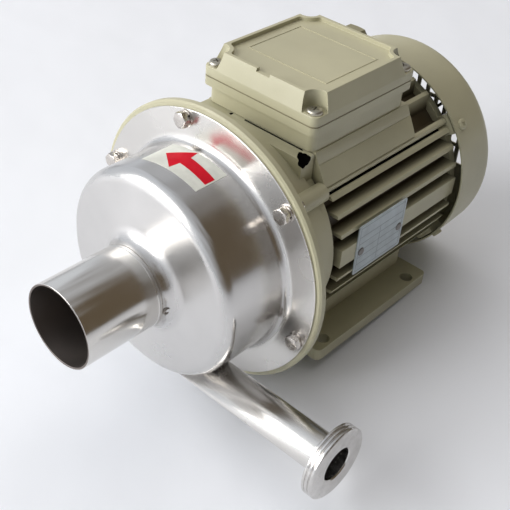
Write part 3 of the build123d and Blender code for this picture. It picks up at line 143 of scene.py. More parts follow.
def tint(red, green, blue):
    """Linear colour from screen values of 0 to 255."""
    shares = (value / 255 for value in (red, green, blue))
    return tuple(share / 12.92 if share < 10 / 255 else ((share + 0.055) / 1.055) ** 2.4 for share in shares)


def shaded(colour, share):
    """A darker tone of a colour."""
    return tuple(share * value for value in colour)


# Dark brown of grime and painted shade between the fins
GRIME_AND_SHADE = tint(66, 56, 38)


def enamel(name, colour, roughness=0.36, peel=0.00006, grime_and_shade=None):
    """Sprayed paint: fine orange peel, slow changes of tone, and grime with painted shade, darkest inside
    the first of two radii and gone past the second.
    """
    f = Finish(name, colour, roughness)
    paint = f.blend(f.spread(f.noise(22, 3), 0, 1), shaded(colour, 0.90), colour)
    # Grime and painted shade: the paint darkens towards the shaft between the two radii
    if grime_and_shade:
        paint = f.blend(f.spread(f.shaft_distance(), 0, 1, *grime_and_shade), GRIME_AND_SHADE, paint)
    f.colour(paint)
    f.rough(f.spread(f.noise(60, 5), roughness - 0.05, roughness + 0.10))
    f.bump(f.noise(900, 3), peel)
    f.bump(f.noise(130, 4), 2.2 * peel)
    f.shader.inputs["Coat Weight"].default_value = 0.12
    f.shader.inputs["Coat Roughness"].default_value = 0.22


def turned_steel(name, colour, roughness, depth, front=0.0, spread=0.0):
    """Steel turned about the shaft: fine rings, cloudy polish, rougher by front on faces across the shaft.

    The gloss is drawn out across the rings by spread.
    """
    f = Finish(name, colour, roughness, 1.0)
    split = f.node("ShaderNodeSeparateXYZ")
    f.join(f.place, split.inputs[0])
    rings = f.node("ShaderNodeCombineXYZ")
    f.join(f.shaft_distance(), rings.inputs[0])
    f.join(split.outputs[1], rings.inputs[1])
    cloud = f.noise(28, 4)
    facing = f.node("ShaderNodeSeparateXYZ")
    f.join(f.node("ShaderNodeNewGeometry").outputs["True Normal"], facing.inputs[0])
    across = f.node("ShaderNodeMath", operation="MULTIPLY")
    f.join(facing.outputs[1], across.inputs[0])
    f.join(facing.outputs[1], across.inputs[1])
    rough = f.node("ShaderNodeMath", operation="ADD")
    f.join(f.spread(cloud, roughness - 0.035, roughness + 0.05), rough.inputs[0])
    f.join(f.spread(across.outputs[0], 0, front, 0.2, 0.9), rough.inputs[1])
    f.rough(rough.outputs[0])
    about = f.node("ShaderNodeVectorMath", operation="CROSS_PRODUCT")
    about.inputs[0].default_value = (0, 1, 0)
    f.join(f.place, about.inputs[1])
    turned = f.node(
        "ShaderNodeVectorTransform", vector_type="VECTOR", convert_from="OBJECT", convert_to="WORLD",
    )
    f.join(about.outputs[0], turned.inputs[0])
    f.join(turned.outputs[0], f.shader.inputs["Tangent"])
    f.shader.inputs["Anisotropic"].default_value = spread
    f.shader.inputs["Anisotropic Rotation"].default_value = 0.25
    f.bump(f.noise(2400, 2, 0.6, rings.outputs[0]), depth)
    f.colour(f.blend(f.spread(cloud, 0, 1), shaded(colour, 0.93), colour))


def drawn_steel(name, colour, roughness, along, depth):
    """Steel tube polished along its length: streaks that run with it."""
    f = Finish(name, colour, roughness, 1.0)
    stretch = [1.0, 1.0, 1.0]
    stretch["XYZ".index(along)] = 0.02
    f.rough(f.spread(f.noise(40, 4), roughness - 0.03, roughness + 0.05))
    f.bump(f.noise(3000, 3, 0.6, f.scaled(stretch)), depth)


def plain_steel(name, colour, roughness, grain=1400, depth=0.00002):
    """Plated or milled steel with a fine grain and worn patches."""
    f = Finish(name, colour, roughness, 1.0)
    f.rough(f.spread(f.noise(420, 4), roughness - 0.06, roughness + 0.12))
    f.colour(f.blend(f.spread(f.noise(160, 4), 0, 1), shaded(colour, 0.8), colour))
    f.bump(f.noise(grain, 3), depth)


def matt(name, colour, roughness, shine=0.5):
    """Rubber, plastic or lacquer: a fine grain and slight changes of tone."""
    f = Finish(name, colour, roughness)
    f.colour(f.blend(f.spread(f.noise(90, 4), 0, 1), shaded(colour, 0.8), colour))
    f.rough(f.spread(f.noise(200, 3), roughness - 0.06, roughness + 0.06))
    f.shader.inputs["Specular IOR Level"].default_value = shine
    f.bump(f.noise(1600, 3), 0.00003)


# Shape helpers

WELD = 2e-6  # metres
EDGE_ANGLE = 35


def at(x, y, z):
    """Place of a piece, in millimetres."""
    return Matrix.Translation(Vector((x, y, z)) * MM)


def span(node, axis, inset=0):
    """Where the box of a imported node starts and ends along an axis, in millimetres, less an inset."""
    start, stop = (corner["XYZ".index(axis)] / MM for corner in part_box(node))
    return start + inset, stop - inset


def finished(name, bm, finish, body="motor", instead=(), sharp=32):
    """A piece from a bmesh: doubles merged, faces outward, smooth but for edges sharper than an angle."""
    bmesh.ops.remove_doubles(bm, verts=bm.verts, dist=WELD)
    bmesh.ops.recalc_face_normals(bm, faces=bm.faces)
    for face in bm.faces:
        face.smooth = True
    for edge in bm.edges:
        edge.smooth = not (edge.is_manifold and edge.calc_face_angle(0) > math.radians(sharp))
    mesh = bpy.data.meshes.new(name)
    bm.to_mesh(mesh)
    bm.free()
    made = bpy.data.objects.new(name, mesh)
    bpy.context.scene.collection.objects.link(made)
    if finish:
        mesh.materials.append(finishes[finish])
        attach(made, body)
    if instead:
        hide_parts(*instead)
    return made


def rounded(corners, steps):
    """Outline through corners (a, b) or (a, b, radius), those with a radius turned into arcs."""
    points = []
    for index, corner in enumerate(corners):
        here = Vector(corner[:2])
        if len(corner) < 3:
            points.append(here)
            continue
        before = (Vector(corners[index - 1][:2]) - here).normalized()
        after = (Vector(corners[(index + 1) % len(corners)][:2]) - here).normalized()
        half = before.angle(after) / 2
        reach = corner[2] / math.tan(half)
        centre = here + (before + after).normalized() * corner[2] / math.sin(half)
        start = here + before * reach - centre
        turn = start.angle_signed(here + after * reach - centre)
        for step in range(steps + 1):
            angle = -turn * step / steps
            points.append(centre + Vector((
                start.x * math.cos(angle) - start.y * math.sin(angle),
                start.x * math.sin(angle) + start.y * math.cos(angle),
            )))
    return points


def spun(outline, steps, along="Y", centre=(0, 0, 0), closed=True, turn=math.tau):
    """Bmesh of an outline of (radius, distance) in millimetres, spun about an axis through a centre."""
    bm = bmesh.new()
    middle = Vector(centre) * MM
    axis, side = {
        "X": (Vector((1, 0, 0)), Vector((0, 0, 1))),
        "Y": (Vector((0, 1, 0)), Vector((1, 0, 0))),
        "Z": (Vector((0, 0, 1)), Vector((1, 0, 0))),
    }[along]
    points = [bm.verts.new(middle + side * r * MM + axis * d * MM) for r, d in outline]
    pairs = list(zip(points, points[1:] + points[:1]))
    for first, second in pairs if closed else pairs[:-1]:
        bm.edges.new((first, second))
    made = bmesh.ops.spin(
        bm, geom=bm.verts[:] + bm.edges[:], cent=middle, axis=axis,
        angle=turn, steps=steps, use_merge=turn == math.tau,
    )
    if turn < math.tau:
        end = [e for e in made["geom_last"] if isinstance(e, bmesh.types.BMEdge)]
        start = [bm.edges.get(pair) for pair in pairs]
        for loop in (end, start):
            bmesh.ops.contextual_create(bm, geom=loop)
    return bm


def prism(segments, radius, depth):
    """Bmesh of a regular prism along Z round the origin, with its corners on a radius, in millimetres."""
    bm = bmesh.new()
    bmesh.ops.create_cone(
        bm, cap_ends=True, segments=segments, radius1=radius * MM, radius2=radius * MM, depth=depth * MM,
    )
    return bm


def block(place, *sides):
    """Bmesh of a box at a place, with its sides in millimetres."""
    bm = bmesh.new()
    add_block(bm, place, *sides)
    return bm


def add_block(bm, place, *sides):
    """A box added to a bmesh."""
    cube = bmesh.ops.create_cube(bm, size=1)
    sizes = Matrix.Diagonal((*(side * MM for side in sides), 1))
    bmesh.ops.transform(bm, verts=cube["verts"], matrix=place @ sizes)


def eased_pad(name, ease, low, back, half_width, shortest):
    """Broad round edges on the part of a piece above low, in front of back and within a half width."""
    mesh = bpy.data.objects[name].data
    bm = bmesh.new()
    bm.from_mesh(mesh)
    picked = []
    for edge in bm.edges:
        middle = (edge.verts[0].co + edge.verts[1].co) / 2 / MM
        sharp = edge.is_manifold and edge.calc_face_angle(0) > 1
        within = middle.z > low and middle.y < back and abs(middle.x) < half_width
        if sharp and within and edge.calc_length() > shortest * MM:
            picked.append(edge)
    bmesh.ops.bevel(
        bm, geom=picked, offset=ease * MM, offset_type="OFFSET", segments=4, profile=0.5,
        affect="EDGES", material=-1, clamp_overlap=True,
    )
    for face in bm.faces:
        face.smooth = True
    bm.to_mesh(mesh)
    bm.free()


def pocketed(name, centre, axis, radius, depth):
    """An uneven round pocket cut into a piece about an axis, lined with painted shade."""
    tool = prism(24, radius, depth)
    for vert in tool.verts:
        angle = math.atan2(vert.co.y, vert.co.x)
        uneven = 1 + 0.14 * math.sin(3 * angle + 1) + 0.07 * math.sin(7 * angle)
        vert.co.x *= uneven
        vert.co.y *= 1.2 * uneven
    turn = Vector(axis).to_track_quat("Z", "Y").to_matrix().to_4x4()
    bmesh.ops.transform(tool, verts=tool.verts, matrix=at(*centre) @ turn)
    carve(bpy.data.objects[name], shade_lined("pocket", tool))


def shade_lined(name, bm):
    """A cutting tool that leaves painted shade, the near-black gap_shadow finish, on the faces it cuts."""
    tool = finished(name, bm, None)
    tool.data.materials.append(finishes["gap_shadow"])
    return tool


def lined(made, finish, radius):
    """A second finish on the faces of a tube round the shaft that lie within a radius."""
    made.data.materials.append(finishes[finish])
    for face in made.data.polygons:
        face.material_index = int(math.hypot(face.center.x, face.center.z) < radius * MM)


def copies(name, bm, places, finish, node):
    """One piece of many alike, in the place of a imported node."""
    mesh = bpy.data.meshes.new(name)
    bm.to_mesh(mesh)
    bm.free()
    whole = bmesh.new()
    for place in places:
        start = len(whole.verts)
        whole.from_mesh(mesh)
        whole.verts.ensure_lookup_table()
        bmesh.ops.transform(whole, verts=whole.verts[start:], matrix=place)
    return finished(name, whole, finish, instead=(node,))


def bordered(corners, width, base, height):
    """A thin raised line round a rectangle, from its corners (x, y, x, y) in millimetres."""
    left, front, right, back = corners
    bm = bmesh.new()
    rings = []
    for inset in (0, width):
        rings.append([bm.verts.new(Vector((x, y, base)) * MM) for x, y in (
            (left + inset, front + inset), (right - inset, front + inset),
            (right - inset, back - inset), (left + inset, back - inset),
        )])
    banded(bm, rings, height * MM)
    return bm


def banded(bm, rings, height):
    """A flat band between two closed rings of vertices, raised to a height."""
    outer, inner = rings
    for index in range(len(outer)):
        after = (index + 1) % len(outer)
        bm.faces.new((outer[index], outer[after], inner[after], inner[index]))
    grown = bmesh.ops.extrude_face_region(bm, geom=bm.faces[:])
    for vert in grown["geom"]:
        if isinstance(vert, bmesh.types.BMVert):
            vert.co.z += height


def carve(made, tool, operation="DIFFERENCE"):
    """The piece after a boolean with a tool, which is removed."""
    others = list(made.modifiers)
    for other in others:
        other.show_viewport = False
    step = made.modifiers.new("carve", "BOOLEAN")
    step.operation = operation
    step.solver = "EXACT"
    step.object = tool
    if tool.data.materials:
        step.material_mode = "TRANSFER"
    bpy.context.view_layer.update()
    result = bpy.data.meshes.new_from_object(made.evaluated_get(bpy.context.evaluated_depsgraph_get()))
    made.modifiers.remove(step)
    for other in others:
        other.show_viewport = True
    made.data = result
    bpy.data.objects.remove(tool)
    return made


def dressed(node, finish, ease):
    """A cast or pressed piece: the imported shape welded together, with its edges eased, in millimetres."""
    bm = bmesh.new()
    bm.from_mesh(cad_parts[node].data)
    bmesh.ops.remove_doubles(bm, verts=bm.verts, dist=WELD)
    bmesh.ops.dissolve_limit(bm, angle_limit=math.radians(0.5), verts=bm.verts, edges=bm.edges)
    made = finished(f"{node}_piece", bm, finish, instead=(node,), sharp=EDGE_ANGLE)
    step = eased(made, ease, EDGE_ANGLE)
    step.segments = 2
    step.harden_normals = True


def eased(made, width, angle):
    """A live bevel on the edges of a piece that are sharper than an angle."""
    step = made.modifiers.new("eased", "BEVEL")
    step.width = width * MM
    step.limit_method = "ANGLE"
    step.angle_limit = math.radians(angle)
    return step


def pan_screw(radius, height, shank_r, reach):
    """Bmesh of a screw with a domed head and a cross recess, standing on its seat."""
    made = finished("pan_screw", spun(rounded([
        (0, -reach), (shank_r, -reach), (shank_r, 0), (radius, 0),
        (radius, 0.86 * height, 0.5 * height), (0, height),
    ], 5), 48, "Z", closed=False), None)
    for turn in (0, 90):
        arm = block(
            Matrix.Rotation(math.radians(turn), 4, "Z") @ at(0, 0, height),
            0.95 * radius, 0.17 * radius, height,
        )
        made = carve(made, finished("recess_arm", arm, None))
    bm = bmesh.new()
    bm.from_mesh(made.data)
    bpy.data.objects.remove(made)
    return bm


def lamp(name, place, aim, size, power, colour, mirrored=True):
    """A rectangular lamp, seen in polished faces only where it is mirrored."""
    data = bpy.data.lights.new(name, "AREA")
    data.shape = "RECTANGLE"
    data.size, data.size_y = size
    data.energy = power
    data.color = colour
    made = bpy.data.objects.new(name, data)
    bpy.context.scene.collection.objects.link(made)
    made.location = place
    made.rotation_euler = (Vector(aim) - Vector(place)).to_track_quat("-Z", "Y").to_euler()
    made.visible_glossy = mirrored


# Finishes

PUTTY = tint(188, 184, 155)
STEEL = (0.72, 0.70, 0.67)
FIN_ROOT_R, FIN_TIP_R = 67.5, 76.7
enamel("putty_enamel", PUTTY)
# The frame's paint darkens towards the fin roots: grime and painted shade between the fins
enamel("fin_enamel", PUTTY, grime_and_shade=(FIN_ROOT_R * MM, FIN_TIP_R * MM))
enamel("lid_enamel", PUTTY, 0.40, 0.00003)
enamel("gland_enamel", tint(150, 145, 116), 0.45)
matt("gap_shadow", (0.012, 0.011, 0.010), 0.9, shine=0.0)
turned_steel("spun_steel", (0.665, 0.652, 0.638), 0.215, 0.0000006, front=0.09, spread=0.35)
turned_steel("brim_steel", STEEL, 0.25, 0.0000006, spread=0.35)
drawn_steel("suction_steel", STEEL, 0.15, "Y", 0.000002)
# Steel of the bores, darkened: painted shade inside the tube and the casing
drawn_steel("shaded_bore_steel", (0.20, 0.175, 0.16), 0.45, "Y", 0.000001)
drawn_steel("discharge_steel", STEEL, 0.24, "X", 0.000002)
plain_steel("union_steel", (0.72, 0.70, 0.68), 0.17)
plain_steel("bead_steel", (0.30, 0.27, 0.24), 0.30)
plain_steel("weld_steel", (0.50, 0.47, 0.43), 0.28)
plain_steel("bolt_steel", (0.66, 0.62, 0.58), 0.22)
plain_steel("zinc_steel", (0.56, 0.53, 0.45), 0.38)
turned_steel("shaft_steel", (0.62, 0.61, 0.60), 0.22, 0.000003)
turned_steel("ring_steel", (0.66, 0.66, 0.66), 0.14, 0.000002)
plain_steel("lamination", (0.30, 0.29, 0.28), 0.5)
plain_steel("cast_aluminium", (0.68, 0.68, 0.69), 0.42, 900, 0.00005)
plain_steel("copper_wire", (0.64, 0.30, 0.16), 0.34, 2400, 0.0001)
plain_steel("brass", (0.72, 0.55, 0.26), 0.28)
matt("carbon", (0.03, 0.03, 0.032), 0.42)
matt("rubber", (0.022, 0.022, 0.023), 0.62)
matt("gasket_foam", tint(138, 131, 106), 0.7)
matt("black_plastic", (0.025, 0.025, 0.027), 0.5)
matt("plate_foil", tint(194, 205, 210), 0.34)
matt("plate_ink", tint(148, 160, 167), 0.4)
matt("label_film", tint(222, 224, 216), 0.5, shine=0.3)
matt("label_red", tint(208, 12, 38), 0.55, shine=0.12)

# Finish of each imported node, where it isn't the motor's paint
by_node = {
    "stator_core": "lamination", "rotor_core": "lamination", "windings": "copper_wire",
    "rotor_cage": "cast_aluminium", "shaft": "shaft_steel", "casing_ring": "rubber",
    "seal_seat": "carbon", "seal_ring": "carbon", "seal_spring": "bolt_steel", "slinger": "rubber",
    "front_bearing_outer": "ring_steel", "front_bearing_inner": "ring_steel",
    "rear_bearing_outer": "ring_steel", "rear_bearing_inner": "ring_steel",
    "preload_washer": "zinc_steel", "fan": "black_plastic", "fan_clip": "zinc_steel",
    "terminal_block": "black_plastic", "terminal_studs": "brass", "box_gasket": "gasket_foam",
    "box_screws": "zinc_steel", "foot_screws": "zinc_steel", "tie_bolts": "putty_enamel",
    "impeller": "spun_steel", "impeller_nut": "spun_steel", "impeller_key": "bolt_steel",
    "back_plate": "spun_steel", "casing_bolts": "bolt_steel", "casing_washers": "bolt_steel",
    "casing_spring_washers": "bolt_steel", "cowl_screws": "putty_enamel", "lid_screws": "zinc_steel",
    "nameplate": "plate_foil", "nameplate_rivets": "lamination", "direction_label": "label_film",
    "casing": "spun_steel", "suction_tube": "suction_steel", "discharge_tube": "discharge_steel",
    "discharge_union": "union_steel",
}
for name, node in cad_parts.items():
    node.data.materials.clear()
    node.data.materials.append(finishes[by_node.get(name, "putty_enamel")])


# Sizes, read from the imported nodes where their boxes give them
SHEET = 1.5
DRUM_R = 73.5
SUCTION_R = span("suction_tube", "X")[1]
NECK_END, FLANGE_Y = span("casing", "Y")
NECK_REACH = 2
NECK_ROUND, FRONT_ROUND, BRIM_ROUND = 10, 9, 6
BRIM_R = span("casing", "X")[1]
BRIM_FACE = FLANGE_Y - SHEET
DRUM_FRONT = FLANGE_Y - 53.5
OUTLET_Y = sum(span("discharge_tube", "Y")) / 2
OUTLET_Z = sum(span("discharge_union", "Z")) / 2
OUTLET_R = span("discharge_tube", "Y")[1] - OUTLET_Y
OUTLET_BORE_R = OUTLET_R - 1
OUTLET_START = 8
UNION_R = span("discharge_union", "Z")[1] - OUTLET_Z
UNION_BACK, UNION_END = span("discharge_union", "X")
UNION_SHOULDER = UNION_BACK + 5
UNION_BORE_R = 11.5

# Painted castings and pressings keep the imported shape, with their edges eased
for node, finish, ease in (
    ("front_shield", "putty_enamel", 0.7), ("frame", "fin_enamel", 0.6),
    ("foot_left", "putty_enamel", 0.8), ("foot_right", "putty_enamel", 0.8),
    ("rear_shield", "putty_enamel", 0.5), ("box_base", "putty_enamel", 1.0),
    ("box_lid", "lid_enamel", 1.0), ("gland_body", "gland_enamel", 0.3),
    ("gland_nut", "gland_enamel", 0.8), ("fan_cowl", "putty_enamel", 0.3),
):
    dressed(node, finish, ease)

# The shield's top pad, with the pocket beside the terminal box and a small hole, both lined with painted
# shade
PAD_EASE = 2.6
POCKET_PLACE, POCKET_AXIS = (45.2, 159.6, 72.4), (0.55, -0.55, 0.63)
POCKET_R, POCKET_DEPTH = 4.2, 14
HOLE_PLACE = (-22.7, 165.3, 73.5)
HOLE_R, HOLE_DEPTH = 1.2, 5
eased_pad("front_shield_piece", PAD_EASE, low=62, back=165, half_width=48, shortest=4)
pocketed("front_shield_piece", POCKET_PLACE, POCKET_AXIS, POCKET_R, POCKET_DEPTH)
pocketed("front_shield_piece", HOLE_PLACE, (0, 0, 1), HOLE_R, HOLE_DEPTH)

# Groove under the ledge that the terminal box stands on, and a channel in the top fin
# beside the upper tie bolt, lined with painted shade, on both sides
FRAME_START, FRAME_STOP = span("frame", "Y")
FRAME_LENGTH = FRAME_STOP - FRAME_START
FRAME_MIDDLE = (FRAME_START + FRAME_STOP) / 2
GROOVE_X, GROOVE_Z, GROOVE_SIDE = 51.2, 67.2, 1.6
GROOVE_TURN = 27.6 + 45
CHANNEL_X, CHANNEL_Z = 57.2, 46.6
CHANNEL_WIDTH, CHANNEL_HEIGHT = 4.0, 4.6
CHANNEL_INSET = 8
ribs = bpy.data.objects["frame_piece"]
for side in (1, -1):
    groove = block(
        at(side * GROOVE_X, FRAME_MIDDLE, GROOVE_Z)
        @ Matrix.Rotation(side * math.radians(GROOVE_TURN), 4, "Y"),
        GROOVE_SIDE, FRAME_LENGTH + 4, GROOVE_SIDE,
    )
    carve(ribs, finished("groove", groove, None))
for side in (1, -1):
    channel = block(
        at(side * CHANNEL_X, FRAME_MIDDLE, CHANNEL_Z),
        CHANNEL_WIDTH, FRAME_LENGTH - 2 * CHANNEL_INSET, CHANNEL_HEIGHT,
    )
    carve(ribs, shade_lined("channel", channel))

# Casing: one spun sheet, with the outlet cut through its side
casing = finished("casing_shell", spun(rounded([
    (SUCTION_R, NECK_END),
    (SUCTION_R, DRUM_FRONT - NECK_REACH, NECK_ROUND),
    (DRUM_R, DRUM_FRONT, FRONT_ROUND),
    (DRUM_R, BRIM_FACE, BRIM_ROUND),
    (BRIM_R, BRIM_FACE, 0.6),
    (BRIM_R, FLANGE_Y, 0.6),
    (DRUM_R - SHEET, FLANGE_Y, BRIM_ROUND + SHEET),
    (DRUM_R - SHEET, DRUM_FRONT + SHEET, FRONT_ROUND - SHEET),
    (SUCTION_R - SHEET, DRUM_FRONT - NECK_REACH + SHEET, NECK_ROUND + SHEET),
    (SUCTION_R - SHEET, NECK_END),
], 12), 240), None)
outlet = prism(64, OUTLET_BORE_R, DRUM_R)
bmesh.ops.transform(outlet, verts=outlet.verts, matrix=at(
    OUTLET_START + DRUM_R / 2, OUTLET_Y, OUTLET_Z) @ Matrix.Rotation(math.radians(90), 4, "Y"))
casing = carve(casing, finished("outlet_tool", outlet, None))
# Inside faces of the casing take the darkened bore steel: painted shade
OUTSIDE, BRIM, INSIDE = range(3)
for finish in ("spun_steel", "brim_steel", "shaded_bore_steel"):
    casing.data.materials.append(finishes[finish])
for face in casing.data.polygons:
    outward = face.normal.x * face.center.x + face.normal.z * face.center.z
    if face.center.y < (BRIM_FACE - 1) * MM and (outward < -1e-6 or face.normal.y > 0.5):
        face.material_index = INSIDE
    else:
        face.material_index = BRIM if face.center.y > (BRIM_FACE - 0.4) * MM else OUTSIDE
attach(casing, "motor")
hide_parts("casing")

# Suction tube, swollen a little where it meets the neck
suction = finished("suction_pipe", spun(rounded([
    (SUCTION_R - SHEET, 0, 0.3), (SUCTION_R, 0, 0.3), (SUCTION_R, NECK_END - 0.8),
    (SUCTION_R + 0.25, NECK_END - 0.4, 0.4), (SUCTION_R + 0.25, NECK_END), (SUCTION_R - SHEET, NECK_END),
], 4), 160), "suction_steel", instead=("suction_tube",))
# Bore of the tube in the darkened steel: painted shade
lined(suction, "shaded_bore_steel", SUCTION_R - SHEET / 2)

# Discharge tube, cut to the drum
OUTLET_LENGTH = UNION_BACK - OUTLET_START
pipe = finished("discharge_pipe", spun([
    (OUTLET_BORE_R, 0), (OUTLET_R, 0), (OUTLET_R, OUTLET_LENGTH), (OUTLET_BORE_R, OUTLET_LENGTH),
], 96, "X", (OUTLET_START, OUTLET_Y, OUTLET_Z)), None)
BEHIND_DRUM = FLANGE_Y + 8
drum_tool = finished("drum_tool", spun(rounded([
    (0, DRUM_FRONT - NECK_REACH), (SUCTION_R, DRUM_FRONT - NECK_REACH), (DRUM_R, DRUM_FRONT, FRONT_ROUND),
    (DRUM_R, BEHIND_DRUM), (0, BEHIND_DRUM),
], 12), 240, closed=False), None)
pipe = carve(pipe, drum_tool)
pipe.data.materials.append(finishes["discharge_steel"])
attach(pipe, "motor")
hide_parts("discharge_tube")

# Discharge union: flared neck and three round crests
CREST_COUNT = 3
CREST = (UNION_END - UNION_SHOULDER) / CREST_COUNT
crests = []
for crest in range(CREST_COUNT):
    start = UNION_SHOULDER + crest * CREST
    crests += [(UNION_R, start + 0.35, 0.6), (UNION_R, start + CREST - 0.75, 0.6)]
    if crest < CREST_COUNT - 1:
        crests.append((UNION_R - 1.3, start + CREST - 0.2, 0.3))
finished("discharge_ferrule", spun(rounded([
    (UNION_BORE_R, UNION_BACK),
    (OUTLET_R, UNION_BACK),
    (OUTLET_R + 0.5, UNION_SHOULDER - 2, 2),
    (OUTLET_R + 3, UNION_SHOULDER, 0.5),
    (UNION_R - 1.6, UNION_SHOULDER, 0.4),
    *crests,
    (UNION_R - 1.2, UNION_END, 0.5),
    (UNION_BORE_R + 0.8, UNION_END, 0.3),
    (UNION_BORE_R, UNION_END - 0.8, 0.3),
], 5), 144, "X", (0, OUTLET_Y, OUTLET_Z)), "union_steel", instead=("discharge_union",))

# Casing bolts: chamfered hexagon heads over split and flat washers
BOLT_COUNT = 6
BOLT_CIRCLE_R = BRIM_R - 6.1
FIRST_BOLT = 42.4
SHANK_R = 3
FLATS = 10.0
CHAMFER, CHAMFER_R = 3.1, 4.6
WASHER_R, WASHER_T = 6, 1.2
SPLIT_R, SPLIT_T, SPLIT_TURN = 5, 1.4, 346
HEAD_START = WASHER_T + SPLIT_T
HEAD_END = BRIM_FACE - span("casing_bolts", "Y")[0]
SHANK_END = BRIM_FACE - span("casing_bolts", "Y")[1]
hexagon = prism(6, FLATS / math.sqrt(3), HEAD_END - HEAD_START)
bmesh.ops.transform(hexagon, verts=hexagon.verts, matrix=at(0, 0, (HEAD_START + HEAD_END) / 2))
head_cone = spun([
    (0, HEAD_START - 1), (FLATS, HEAD_START - 1), (FLATS, HEAD_END - CHAMFER),
    (CHAMFER_R, HEAD_END), (0, HEAD_END),
], 72, "Z", closed=False)
head = carve(finished("hexagon", hexagon, None), finished("head_cone", head_cone, None), "INTERSECT")
bolt = spun([
    (0, SHANK_END), (SHANK_R, SHANK_END), (SHANK_R, HEAD_START), (0, HEAD_START),
], 32, "Z", closed=False)
bolt.from_mesh(head.data)
bpy.data.objects.remove(head)
split = spun([
    (SHANK_R + 0.2, WASHER_T), (SPLIT_R, WASHER_T), (SPLIT_R, HEAD_START), (SHANK_R + 0.2, HEAD_START),
], 40, "Z", turn=math.radians(SPLIT_TURN))
flat = spun(rounded([
    (SHANK_R + 0.3, 0), (WASHER_R, 0), (WASHER_R, WASHER_T, 0.25), (SHANK_R + 0.3, WASHER_T),
], 2), 48, "Z")
places = []
for index in range(BOLT_COUNT):
    angle = math.radians(FIRST_BOLT + 360 / BOLT_COUNT * index)
    places.append(
        at(BOLT_CIRCLE_R * math.cos(angle), BRIM_FACE, BOLT_CIRCLE_R * math.sin(angle))
        @ Matrix.Rotation(math.radians(90), 4, "X")
        @ Matrix.Rotation(math.radians(11 + 37 * index), 4, "Z")
    )
eased(copies("hex_bolts", bolt, places, "bolt_steel", "casing_bolts"), 0.15, 25)
copies("split_washers", split, places, "bolt_steel", "casing_spring_washers")
copies("flat_washers", flat, places, "bolt_steel", "casing_washers")

# Lid screws in the scooped corners, and the screws round the cowl
LID_HEAD_R, LID_HEAD_T = 5.2, 3
COWL_HEAD_R, COWL_HEAD_T = 4, 2.4
SCREW_R = 2
LID_X = span("lid_screws", "X", LID_HEAD_R)[1]
LID_START, LID_STOP = span("lid_screws", "Y", LID_HEAD_R)
LID_SEAT = span("lid_screws", "Z")[1] - LID_HEAD_T
LID_REACH = LID_SEAT - span("lid_screws", "Z")[0]
copies("lid_pan_screws", pan_screw(LID_HEAD_R, LID_HEAD_T, SCREW_R, LID_REACH), [
    at(x, y, LID_SEAT) @ Matrix.Rotation(math.radians(turn), 4, "Z")
    for x, y, turn in (
        (LID_X, LID_START, 18), (-LID_X, LID_START, 62), (LID_X, LID_STOP, 40), (-LID_X, LID_STOP, 5),
    )
], "zinc_steel", "lid_screws")
COWL_R = span("fan_cowl", "X")[1]
COWL_SCREW_Y = sum(span("cowl_screws", "Y")) / 2
COWL_SCREWS_AT = (36, 144, 216, 324)
COWL_SCREW_REACH = 14
copies("cowl_pan_screws", pan_screw(COWL_HEAD_R, COWL_HEAD_T, SCREW_R, COWL_SCREW_REACH), [
    at(COWL_R * math.cos(angle), COWL_SCREW_Y, COWL_R * math.sin(angle))
    @ Matrix.Rotation(math.radians(90) - angle, 4, "Y")
    @ Matrix.Rotation(angle, 4, "Z")
    for angle in (math.radians(degrees) for degrees in COWL_SCREWS_AT)
], "putty_enamel", "cowl_screws")

# Arrow on the direction label: an outline by arc length and distance, wrapped round the drum
LABEL_R = DRUM_R + 0.27
LABEL_MIDDLE = 87.5
INK = 0.05
ARROW = [
    (19.9, -21.3), (4.8, -8.4), (3.4, -15.8), (-20.0, -18.1), (-19.9, -26.4), (3.7, -24.8), (4.8, -32.9),
]
ARROW_REACH = 20
arrow = bmesh.new()
arrow.faces.new([arrow.verts.new((along, FLANGE_Y + y, 0)) for along, y in ARROW])
for cut in range(1 - ARROW_REACH, ARROW_REACH):
    bmesh.ops.bisect_plane(
        arrow, geom=arrow.verts[:] + arrow.edges[:] + arrow.faces[:],
        plane_co=(cut, 0, 0), plane_no=(1, 0, 0),
    )
top = bmesh.ops.extrude_face_region(arrow, geom=arrow.faces[:])
for vert in top["geom"]:
    if isinstance(vert, bmesh.types.BMVert):
        vert.co.z += INK
for vert in arrow.verts:
    angle = math.radians(LABEL_MIDDLE) + vert.co.x / LABEL_R
    reach = LABEL_R + vert.co.z
    vert.co = Vector((reach * math.cos(angle), vert.co.y, reach * math.sin(angle))) * MM
finished("label_arrow", arrow, "label_red")

# Gasket flush with the lid and the base
BOX_Y = sum(span("box_lid", "Y")) / 2
BOX_HALF_X = span("box_base", "X")[1]
BOX_HALF_Y = 53
BOX_CORNER_R = 5
GASKET_START, GASKET_STOP = span("box_gasket", "Z")
rings = []
gasket = bmesh.new()
for inset in (0.25, 3.0):
    half_x, half_y, corner_r = BOX_HALF_X - inset, BOX_HALF_Y - inset, BOX_CORNER_R - inset
    rings.append([
        gasket.verts.new(Vector((x, BOX_Y + y, GASKET_START)) * MM) for x, y in rounded([
            (-half_x, -half_y, corner_r), (half_x, -half_y, corner_r),
            (half_x, half_y, corner_r), (-half_x, half_y, corner_r),
        ], 6)
    ])
banded(gasket, rings, (GASKET_STOP - GASKET_START) * MM)
finished("gasket_ring", gasket, "gasket_foam", instead=("box_gasket",))

# Painted shadow: a thin near-black strip on the pad stands for the shade in the gap between the shield and
# the terminal box
GAP_PLACE = at(14, 165.9, 73.6)
GAP_LENGTH, GAP_WIDTH, GAP_HEIGHT = 50, 0.9, 0.5
gap = block(GAP_PLACE, GAP_LENGTH, GAP_WIDTH, GAP_HEIGHT)
finished("box_gap", gap, "gap_shadow")

